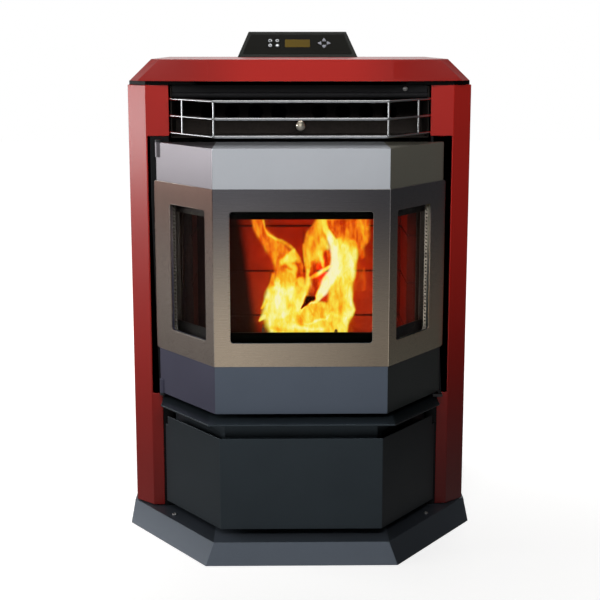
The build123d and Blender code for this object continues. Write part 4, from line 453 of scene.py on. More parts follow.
def makeDoorPaint():
    # one casting: silver grey above the trim plate and graphite below it, a difference that is partly painted
    # reflected light; painted shade on its left and right faces; near black behind its walls
    casting = dict(
        silver=(0.56, 0.585, 0.625), graphite=(0.150, 0.182, 0.235), soot=(0.010, 0.009, 0.008),
        changeLow=0.45, changeHigh=0.52, right=(0.46, 0.42, 0.32), leftUpper=(0.24, 0.21, 0.215),
        leftLower=(0.64, 0.52, 0.60), wall=0.0045, square=0.82, low=0.242, high=0.658,
    )
    material, tree, shader = newMaterial("doorPaint")
    place = split(objectPlace(tree))
    # the upper band lighter, partly as painted reflected light
    upper = spread(place["Z"], casting["changeLow"], casting["changeHigh"])
    back = minus(place["Y"], bay["frontY"] * mm)
    edge = total(product(back, bay["slope"]), bay["cornerX"] * mm)
    beside = minus(edge, calc("ABSOLUTE", place["X"]))
    depth = calc("MINIMUM", back, product(beside, casting["square"]))
    inside = product(
        spread(depth, casting["wall"], casting["wall"] + 0.0005),
        spread(place["Z"], casting["low"], casting["low"] + 0.001),
        spread(place["Z"], casting["high"], casting["high"] - 0.001),
    )
    left, right = sideMasks(place["X"])
    tone = mixColour(upper, casting["graphite"], casting["silver"])
    # painted shade on the right face
    tone = mixColour(right, tone, casting["right"], "MULTIPLY")
    # painted shade on the left face
    leftFaceShade = mixColour(upper, casting["leftLower"], casting["leftUpper"])
    tone = mixColour(inside, mixColour(left, tone, leftFaceShade, "MULTIPLY"), casting["soot"])
    skin = useGroup(
        tree, coatGroup, base=tone, roughness=spread(upper, 0, 1, 0.40, 0.34), mottle=0.14, grainScale=2200.0,
        grainDepth=0.08,
    )
    plug(
        shader, basecolor=skin["Color"], roughness=skin["Roughness"], normal=skin["Normal"],
        metallic=spread(inside, 0, 1, 0.8, 0.0),
    )
    return material


def makeTrimSteel():
    # brushed steel with a painted reflection, pale and warm at the foot and dark at the top, painted shade
    # across its front face towards the right, a painted highlight on its right face, a darker, browner
    # painted reflection on its left face and a painted highlight on its rolled edges
    steel = dict(
        darkFoot=(0.70, 0.57, 0.43), darkTop=(0.130, 0.126, 0.138), paleFoot=(0.74, 0.60, 0.455),
        paleTop=(0.145, 0.140, 0.152), leftFoot=(0.46, 0.385, 0.335), leftTop=(0.074, 0.040, 0.030),
        rolled=(0.85, 0.80, 0.72), litUntil=-0.10, dullFrom=0.12, rightOfFront=0.55, rightFace=0.95,
    )
    material, tree, shader = newMaterial("trimSteel")
    brush = useGroup(tree, brushGroup, scale=1500.0, stretch=(0.02, 1.0, 1.0), depth=0.10)
    place = split(objectPlace(tree))
    low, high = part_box("door_trim")
    # painted reflection: pale and warm at the foot, dark at the top
    heightReflection = spread(place["Z"], low.z, high.z, smooth=True)
    dark = mixColour(heightReflection, steel["darkFoot"], steel["darkTop"])
    pale = mixColour(heightReflection, steel["paleFoot"], steel["paleTop"])
    left, right = sideMasks(place["X"])
    # painted shade across the front face towards the right, and a painted highlight on the right face
    front = spread(place["X"], steel["litUntil"], steel["dullFrom"], 1.0, steel["rightOfFront"])
    shadeAndHighlight = total(front, product(right, steel["rightFace"]))
    tone = vector("SCALE", mixColour(brush["Streak"], dark, pale), shadeAndHighlight)
    # a darker, browner painted reflection on the left face
    tone = mixColour(left, tone, mixColour(heightReflection, steel["leftFoot"], steel["leftTop"]))
    # a painted highlight on the rolled edges round the windows
    rolled = useGroup(tree, wearAndHighlightGroup, width=0.0014, amount=1.0, breakUp=5.0)
    tone = mixColour(rolled["Mask"], tone, steel["rolled"])
    rough = spread(brush["Streak"], 0.3, 0.7, 0.24, 0.36)
    plug(shader, basecolor=tone, roughness=rough, normal=brush["Normal"], metallic=1.0)
    return material


def makePolished(name, colour, roughness):
    material, tree, shader = newMaterial(name)
    brush = useGroup(tree, brushGroup, scale=300.0, stretch=(1.0, 1.0, 0.1), depth=0.05)
    rough = spread(brush["Smudge"], 0.3, 0.7, roughness * 0.7, roughness * 1.4)
    tone = mixColour(brush["Streak"], [c * 0.9 for c in colour], colour)
    plug(shader, basecolor=tone, roughness=rough, normal=brush["Normal"], metallic=1.0)
    return material


def makeGlass():
    # heat-proof pane, faintly smoked, with a film of ash in clouds
    pane = dict(clear=(0.93, 0.89, 0.85), smoked=(0.86, 0.80, 0.74), cloudScale=18.0, filmRoughness=0.04,
                bending=1.10)
    material, tree, shader = newMaterial("heatGlass")
    haze = cloud(objectPlace(tree), pane["cloudScale"], 4.0)
    tone = mixColour(haze, pane["clear"], pane["smoked"])
    rough = spread(haze, 0.5, 0.8, 0.0, pane["filmRoughness"])
    plug(shader, basecolor=tone, roughness=rough, ior=pane["bending"], transmissionweight=1.0)
    return material


def makeRope():
    # pale glass fibre, grimy in patches and darker towards the left
    rope = dict(deep=(0.20, 0.175, 0.14), pale=(0.52, 0.47, 0.39), grime=(0.07, 0.06, 0.05),
                soot=(0.022, 0.020, 0.013), sootUntil=-0.15, cleanFrom=0.10)
    material, tree, shader = newMaterial("gasketRope")
    place = objectPlace(tree)
    fibre = cloud(place, 1400.0, 3.0)
    grime = spread(cloud(place, 60.0, 4.0), 0.5, 0.75, 0.0, 0.7)
    tone = mixColour(grime, mixColour(fibre, rope["deep"], rope["pale"]), rope["grime"])
    darkerLeft = spread(split(place)["X"], rope["sootUntil"], rope["cleanFrom"], 0.9, 0.0)
    tone = mixColour(darkerLeft, tone, rope["soot"])
    plug(shader, basecolor=tone, roughness=0.9, normal=bumped(fibre, 0.5, 0.0003), sheenweight=0.3)
    return material


def makeBrick():
    # fire-brick glowing in the light of the fire, that glow partly painted into its red, in courses, with
    # painted shade towards its left and right edges
    brick = dict(
        deep=(0.20, 0.018, 0.004), pale=(0.38, 0.042, 0.009), patch=(0.12, 0.011, 0.003),
        joint=(0.02, 0.002, 0.001), soot=(0.010, 0.002, 0.001), far=(0.045, 0.002, 0.0005), foot=0.2195,
        course=0.081, leanBy=0.15, leanFrom=-0.077, wander=0.012, jointHalf=0.0013, jointEdge=0.0024,
        sootUntil=-0.108, cleanFrom=-0.088, farFrom=0.125, farUntil=0.160,
    )
    material, tree, shader = newMaterial("fireBrick")
    place = objectPlace(tree)
    parts = split(place)
    rough = cloud(place, 90.0, 8.0)
    patch = cloud(place, 12.0, 3.0)
    tone = mixColour(rough, brick["deep"], brick["pale"])
    tone = mixColour(spread(patch, 0.4, 0.7, 0.0, 0.5), tone, brick["patch"])
    course = calc("MODULO", minus(parts["Z"], brick["foot"]), brick["course"])
    fromJoint = calc("ABSOLUTE", minus(course, brick["course"] / 2))
    joint = spread(fromJoint, brick["jointHalf"], brick["jointEdge"], 0.85, 0.0)
    tone = mixColour(joint, tone, brick["joint"])
    # painted shade towards the left edge, along a leaning line
    lean = calc("MULTIPLY_ADD", parts["Z"], brick["leanBy"], brick["leanFrom"])
    across = total(parts["X"], lean, product(patch, brick["wander"]))
    soot = spread(across, brick["sootUntil"], brick["cleanFrom"], 1.0, 0.0, smooth=True)
    tone = mixColour(soot, tone, brick["soot"])
    # painted shade towards the right edge
    far = spread(parts["X"], brick["farFrom"], brick["farUntil"], 0.0, 0.85, smooth=True)
    tone = mixColour(far, tone, brick["far"])
    plug(shader, basecolor=tone, roughness=0.92, normal=bumped(rough, 0.6, 0.0015), specularIORLevel=0.2)
    return material


def makeDisplayFilm():
    # unlit amber panel with its fine dot grid
    film = dict(left=(0.085, 0.056, 0.006), right=(0.065, 0.043, 0.005), grid=(0.05, 0.032, 0.004),
                lines=180.0)
    material, tree, shader = newMaterial("displayFilm")
    place = objectPlace(tree)
    low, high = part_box("display_window")
    wave = {"Vector": place, "Scale": film["lines"]}
    columns, rows = (put(tree, "ShaderNodeTexWave", wave, bands_direction=way).outputs["Fac"] for way in "XZ")
    grid = product(spread(columns, 0.1, 0.3), spread(rows, 0.1, 0.3))
    tone = mixColour(spread(split(place)["X"], low.x, high.x), film["left"], film["right"])
    plug(shader, basecolor=mixColour(grid, film["grid"], tone), roughness=0.3, specularIORLevel=0.1)
    return material


paintShadeOnRed()
# painted shade on the side faces of the ledge, the drawer and the plinth
paintSideShade(shadedGraphitePaint, ledgeOrDrawer, left=0.62, right=0.25)
paintSideShade(litPlinthPaint, plinthCorner, left=0.46, right=0.42)
doorPaint = makeDoorPaint()
trimSteel = makeTrimSteel()
chromeWire = makePolished("chromeWire", (0.46, 0.47, 0.48), 0.16)
knobMetal = makePolished("knobMetal", (0.80, 0.72, 0.58), 0.16)
heatGlass = makeGlass()
gasketRope = makeRope()
fireBrick = makeBrick()
faceFilm = sprayed(
    "faceFilm", (0.006, 0.006, 0.005), 0.3, mottle=0.1, grainScale=900.0, grainDepth=0.02,
    specularIORLevel=0.04,
)
displayFilm = makeDisplayFilm()
print("finishes made")


# painted sheet metal

for nodeName in ("side_panel_left", "side_panel_right"):
    dress(nodeName, redEnamel, edge=0.7)
dress("top_panel", redEnamel, edge=0.9, keepAngle=12)
dress("hopper_lid", redEnamel, edge=0.6)
dress("base_plinth", litPlinthPaint, edge=0.8)
for nodeName in ("ledge_shelf", "drawer_front"):
    dress(nodeName, shadedGraphitePaint, edge=0.8)
dress("door_frame", doorPaint, edge=1.0)
dress("door_trim", trimSteel, edge=0.9)
dress("rear_panel", sheetBlack, edge=0.4)
dress("outlet_valance", blackPaint, edge=0.0)
show(blackPaint, "base_pan", "cabinet_side_left", "cabinet_side_right", "lid_gasket")
show(boilerSteel, "heat_outlet_box")


def thicken(piece, thickness, offset):
    fold = piece.modifiers.new("thickness", "SOLIDIFY")
    fold.thickness = thickness
    fold.offset = offset


def crownLip():
    # folded strip that closes the gap between the crown and the side panels, its black painted shade in that
    # gap
    lip = dict(inner=175.0, corner=254.0, side=283.2, frontY=-102.0, cornerY=-73.5, backY=286.0, low=754.4,
               high=760.8, sheet=1.2)
    outline = [(lip["inner"], lip["frontY"]), (lip["corner"], lip["frontY"]), (lip["side"], lip["cornerY"]),
               (lip["side"], lip["backY"])]
    faces = [(2 * i, 2 * i + 2, 2 * i + 3, 2 * i + 1) for i in range(len(outline) - 1)]
    for hand, label in ((-1, "Left"), (1, "Right")):
        vertices = [(hand * x * mm, y * mm, z * mm) for x, y in outline for z in (lip["low"], lip["high"])]
        piece = meshObject("crownLip" + label, vertices, faces)
        thicken(piece, lip["sheet"] * mm, -hand)
        # black as painted shade in the gap
        paint(piece, blackPaint)
        settle(piece, "stove")


crownLip()
print("sheet metal dressed")

# control panel

dress("control_housing", housingPlastic, edge=1.2)
dress("control_face", faceFilm, edge=0.25)
dress("display_window", displayFilm, edge=0.2)
for nodeName in [n for n in nodes if n.startswith("arrow_key")]:
    dress(nodeName, keyCap, edge=0.4)
for nodeName in [n for n in nodes if n.startswith("round_key")]:
    dress(nodeName, keyDark, edge=0.3)


def keyRings():
    # a printed ring on each round key, and a full dot on the last
    ring = dict(outer=3.1, inner=2.3, dot=2.3, dotHole=0.1, proud=0.04, ink=0.08, sides=28)
    low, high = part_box("control_face")
    across = Vector((1, 0, 0))
    up = Vector((0, high.y - low.y, high.z - low.z)).normalized()
    out = Vector((0, -up.z, up.y))
    sides = ring["sides"]
    faces = []
    for step in range(sides):
        a, b = 2 * step, 2 * ((step + 1) % sides)
        faces.append((a, b, b + 1, a + 1))
    for number in range(1, 5):
        nodeName = f"round_key_{number}"
        low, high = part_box(nodeName)
        top = max(v.co.dot(out) for v in nodes[nodeName].data.vertices)
        middle = (low + high) / 2
        centre = middle + out * (top - middle.dot(out) + ring["proud"] * mm)
        radii = (ring["outer"], ring["inner"]) if number < 4 else (ring["dot"], ring["dotHole"])
        turns = [fullTurn * step / sides for step in range(sides)]
        spokes = [across * math.cos(turn) + up * math.sin(turn) for turn in turns]
        vertices = [centre + spoke * radius * mm for spoke in spokes for radius in radii]
        piece = meshObject(f"keyRing{number}", vertices, faces)
        thicken(piece, ring["ink"] * mm, 0)
        paint(piece, keyInk)
        settle(piece, bodyOf[nodeName])


keyRings()
print("control panel done")


# geometry node trees

def bakeTree(host, tree, name, smooth, **inputs):
    # runs a tree on its host, keeps the result as a plain mesh and drops the host
    values = {plainKey(key): value for key, value in inputs.items()}
    modifier = host.modifiers.new("tree", "NODES")
    modifier.node_group = tree
    for item in tree.interface.items_tree:
        if item.in_out == "INPUT" and plainKey(item.name) in values:
            modifier[item.identifier] = values[plainKey(item.name)]
    mesh = evaluatedMesh(host, name)
    host.modifiers.remove(modifier)
    bpy.data.objects.remove(host)
    smoothByAngle(mesh, smooth)
    return addObject(name, mesh)


def geometryTree(name, *inputs):
    shape = ("Geometry", "Geometry")
    return nodeGroup(name, "GeometryNodeTree", [shape, *inputs, ("Material", "Material")], [shape])


def closeTree(geometry, given, out):
    # every tree ends in real geometry with its material
    tree = geometry.id_data
    real = put(tree, "GeometryNodeRealizeInstances", {"Geometry": geometry})
    inputs = {"Geometry": real.outputs[0], "Material": given["Material"]}
    feed(out[0], put(tree, "GeometryNodeSetMaterial", inputs).outputs[0])
    return tree


def tubeAlong(curve, radius, sides, given, out):
    tree = curve.id_data
    section = put(tree, "GeometryNodeCurvePrimitiveCircle", {"Resolution": sides, "Radius": radius})
    inputs = {"Curve": curve, "Profile Curve": section.outputs[0], "Fill Caps": True}
    return closeTree(put(tree, "GeometryNodeCurveToMesh", inputs).outputs[0], given, out)


def makeBraidTree():
    # strands wound both ways round the host's curve, each over one and under the next
    tree, given, out = geometryTree(
        "ropeBraid", ("Radius", "Float", 0.0032), ("Strand Radius", "Float", 0.0011), ("Strands", "Int", 8),
        ("Turns", "Float", 60.0), ("Points", "Int", 600), ("Weave", "Float", 0.0005),
    )
    fine = put(tree, "GeometryNodeResampleCurve", {"Curve": given["Geometry"], "Count": given["Points"]})
    copies = put(
        tree, "GeometryNodeDuplicateElements", {"Geometry": fine.outputs[0], "Amount": given["Strands"]},
        domain="SPLINE",
    )
    number = copies.outputs["Duplicate Index"]
    hand = minus(product(calc("MODULO", number, 2.0), 2.0), 1.0)
    wound = product(put(tree, "GeometryNodeSplineParameter").outputs["Factor"], given["Turns"], fullTurn)
    pair = calc("FLOOR", calc("DIVIDE", number, 2.0))
    start = product(calc("DIVIDE", pair, given["Strands"]), 2 * fullTurn)
    angle = total(product(wound, hand), start)
    wave = calc("COSINE", product(wound, calc("DIVIDE", given["Strands"], 2.0)))
    reach = total(given["Radius"], product(wave, hand, given["Weave"]))
    normal = put(tree, "GeometryNodeInputNormal").outputs[0]
    across = vector("CROSS_PRODUCT", put(tree, "GeometryNodeInputTangent").outputs[0], normal)
    spoke = vector(
        "ADD", vector("SCALE", normal, calc("COSINE", angle)),
        vector("SCALE", across, calc("SINE", angle)),
    )
    moved = put(
        tree, "GeometryNodeSetPosition",
        {"Geometry": copies.outputs["Geometry"], "Offset": vector("SCALE", spoke, reach)},
    )
    return tubeAlong(moved.outputs[0], given["Strand Radius"], 5, given, out)


def makeRodTree():
    # round rods along the host's curves
    given, out = geometryTree("bentRods", ("Radius", "Float", 0.00175), ("Sides", "Int", 14))[1:]
    return tubeAlong(given["Geometry"], given["Radius"], given["Sides"], given, out)


def polyCurve(name, lines, closed=False):
    data = bpy.data.curves.new(name, "CURVE")
    data.dimensions = "3D"
    for points in lines:
        spline = data.splines.new("POLY")
        spline.points.add(len(points) - 1)
        for point, place in zip(spline.points, points):
            point.co = (*place, 1)
        spline.use_cyclic_u = closed
    return addObject(name, data)


def roundedLoop(origin, across, up, width, height, radius, steps=8):
    # points round a rounded rectangle about origin
    points = []
    for sideX, sideY, first in ((1, 1, 0), (-1, 1, 90), (-1, -1, 180), (1, -1, 270)):
        for step in range(steps + 1):
            turn = math.radians(first + 90 * step / steps)
            x = sideX * (width / 2 - radius) + radius * math.cos(turn)
            y = sideY * (height / 2 - radius) + radius * math.sin(turn)
            points.append(origin + across * x + up * y)
    return points


braidTree = makeBraidTree()
rodTree = makeRodTree()


# rope gaskets

def braidLoop(name, points, radius, pitch):
    # shares of the rope's radius: the strands' path, the strands, their weave and the dark core
    braid = dict(path=0.68, strand=0.30, weave=0.12, core=0.62, strands=4, pointsPerTurn=9, smooth=60)
    length = sum((points[i] - points[i - 1]).length for i in range(len(points)))
    turns = round(length / pitch)
    piece = bakeTree(
        polyCurve(name + "Path", [points], closed=True), braidTree, name, braid["smooth"],
        radius=radius * braid["path"], strandRadius=radius * braid["strand"], strands=braid["strands"],
        turns=float(turns), points=turns * braid["pointsPerTurn"], weave=radius * braid["weave"],
        material=gasketRope,
    )
    core = bakeTree(
        polyCurve(name + "CorePath", [points], closed=True), rodTree, name + "Core", braid["smooth"],
        radius=radius * braid["core"], sides=10, material=ropeCore,
    )
    settle(piece, "door")
    settle(core, "door")
    return piece


def glassRopes():
    # one rope round each pane, squeezed between the door and the glass
    rope = dict(radius=3.9, pitch=12.0, corner=12.0, overlap=6.0, lift=4.0, wider=0.78)
    for side, hand in (("centre", 0), ("left", -1), ("right", 1)):
        low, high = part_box("glass_" + side)
        middle = (low + high) / 2
        across = Vector((facetAlong.x * hand, facetAlong.y, 0)) if hand else Vector((1, 0, 0))
        out = Vector((facetOut.x * hand, facetOut.y, 0)) if hand else Vector((0, -1, 0))
        corners = [v.co for v in nodes["glass_" + side].data.vertices]
        spans = [corner.dot(across) for corner in corners]
        depth = max(corner.dot(out) for corner in corners) + rope["lift"] * mm
        points = roundedLoop(
            middle + out * (depth - middle.dot(out)), across, upward,
            max(spans) - min(spans) - (2 * rope["overlap"] - 2 * rope["wider"]) * mm,
            high.z - low.z - 2 * rope["overlap"] * mm, rope["corner"] * mm,
        )
        piece = braidLoop(f"glassRope_{side}", points, rope["radius"] * mm, rope["pitch"] * mm)
        if side == "centre":
            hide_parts("glass_gaskets")


def doorRope():
    rope = dict(pitch=20.0, corner=14.0, squeeze=0.98)
    low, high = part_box("door_gasket")
    radius = (high.y - low.y) / 2
    points = roundedLoop(
        (low + high) / 2, Vector((1, 0, 0)), upward, high.x - low.x - 2 * radius, high.z - low.z - 2 * radius,
        rope["corner"] * mm,
    )
    piece = braidLoop("doorRope", points, radius * rope["squeeze"], rope["pitch"] * mm)
    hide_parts("door_gasket")


glassRopes()
doorRope()
print("rope gaskets braided")

# glass

for side in ("centre", "left", "right"):
    dress("glass_" + side, heatGlass, edge=0.3)
dress("glass_clips", blackPaint, edge=0.3)


# grille and knob

def roundCorners(plan, reach, steps=6):
    # a plan of straight runs with its corners bent
    path = [Vector((*plan[0], 0))]
    for corners in zip(plan, plan[1:], plan[2:]):
        start, middle, stop = (Vector((*corner, 0)) for corner in corners)
        enter = middle + (start - middle).normalized() * reach
        leave = middle + (stop - middle).normalized() * reach
        for step in range(steps + 1):
            t = step / steps
            path.append(enter * (1 - t) ** 2 + middle * 2 * t * (1 - t) + leave * t ** 2)
    return path + [Vector((*plan[-1], 0))]


def grilleWire():
    # three bent rods and four uprights, welded where they cross
    wire = dict(radius=1.75, barRadius=1.5, bend=5.4, cornerX=137.0, frontY=-236.0, barX=190.0, barIn=1.0,
                barBack=1.5, levels=(678.3, 705.8, 732.8))
    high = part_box("grille_rods")[1]
    cornerX, frontY, barX = wire["cornerX"], wire["frontY"], wire["barX"]
    endX = high.x / mm - wire["radius"]
    backY = high.y / mm
    sideY = frontY + (endX - cornerX) / bay["slope"]
    half = [(endX, backY), (endX, sideY), (cornerX, frontY)]
    path = roundCorners([(-x, y) for x, y in half] + half[::-1], wire["bend"])
    rods = [[(p + upward * level) * mm for p in path] for level in wire["levels"]]
    barY = frontY + (barX - cornerX) / bay["slope"]
    inX, inY = cornerX - wire["barIn"], frontY + wire["barBack"]
    feet = [(-barX, barY), (-inX, inY), (inX, inY), (barX, barY)]
    bars = [[Vector((x, y, wire["levels"][end])) * mm for end in (0, -1)] for x, y in feet]
    piece = bakeTree(
        polyCurve("rodPaths", rods), rodTree, "grilleRods", 40, radius=wire["radius"] * mm, sides=16,
        material=chromeWire,
    )
    uprights = bakeTree(
        polyCurve("barPaths", bars), rodTree, "grilleBars", 40, radius=wire["barRadius"] * mm, sides=12,
        material=chromeWire,
    )
    settle(piece, "stove", ["grille_rods"])
    settle(uprights, "stove")


grilleWire()
dress("scraper_knob", knobMetal, edge=0.0)
show(boilerSteel, "tube_scraper")
print("grille done")

# fire chamber

show(boilerSteel, "firebox_shell", "exchanger_tubes")
dress("firebrick_back", fireBrick, edge=1.0)
dress("firebrick_sides", fireBrick, edge=1.0)
dress("burn_pot", potIron, edge=0.8)
show(screwZinc, "igniter")


def makeFlameMaterial():
    # the warmth of each point gives the colour, and its cover the soft edge
    glow = dict(stretch=(1.0, 1.0, 0.32), threadScale=150.0, twist=1.2, thread=0.05, strength=1.05)
    material, tree, shader = newMaterial("flame")
    warmth, cover = (
        put(tree, "ShaderNodeAttribute", attribute_name=label).outputs["Fac"] for label in ("warmth", "cover")
    )
    drawn = vector("MULTIPLY", objectPlace(tree), glow["stretch"])
    wisps = cloud(drawn, glow["threadScale"], 3.0, distortion=glow["twist"])
    thread = spread(wisps, 0.3, 0.7, -glow["thread"], glow["thread"])
    colour = ramp(
        total(warmth, thread),
        [
            (0.0, (0.012, 0.001, 0.0)),
            (0.2, (0.20, 0.008, 0.001)),
            (0.34, (0.50, 0.022, 0.002)),
            (0.44, (0.80, 0.10, 0.003)),
            (0.52, (0.956, 0.22, 0.008)),
            (0.65, (1.0, 0.50, 0.015)),
            (0.8, (1.0, 0.86, 0.08)),
            (0.92, (1.0, 1.0, 0.33)),
            (1.0, (1.0, 1.0, 0.62)),
        ],
    )
    plug(
        shader, basecolor=(0.0, 0.0, 0.0), roughness=1.0, specularIORLevel=0.0, emissioncolor=colour,
        emissionstrength=glow["strength"], alpha=cover,
    )
    return material


flameMaterial = makeFlameMaterial()
flames = dict(left=-135.0, right=150.0, foot=320.0, top=552.0, middle=20.0, warp=2.6, streak=0.14,
              waveX=0.0355, waveZ=0.0257, curlX=2.6, curlZ=1.33, curlSeed=8.1, streakFrom=0.3, bow=6,
              bowWave=0.03, ripple=7, leastCover=0.01)
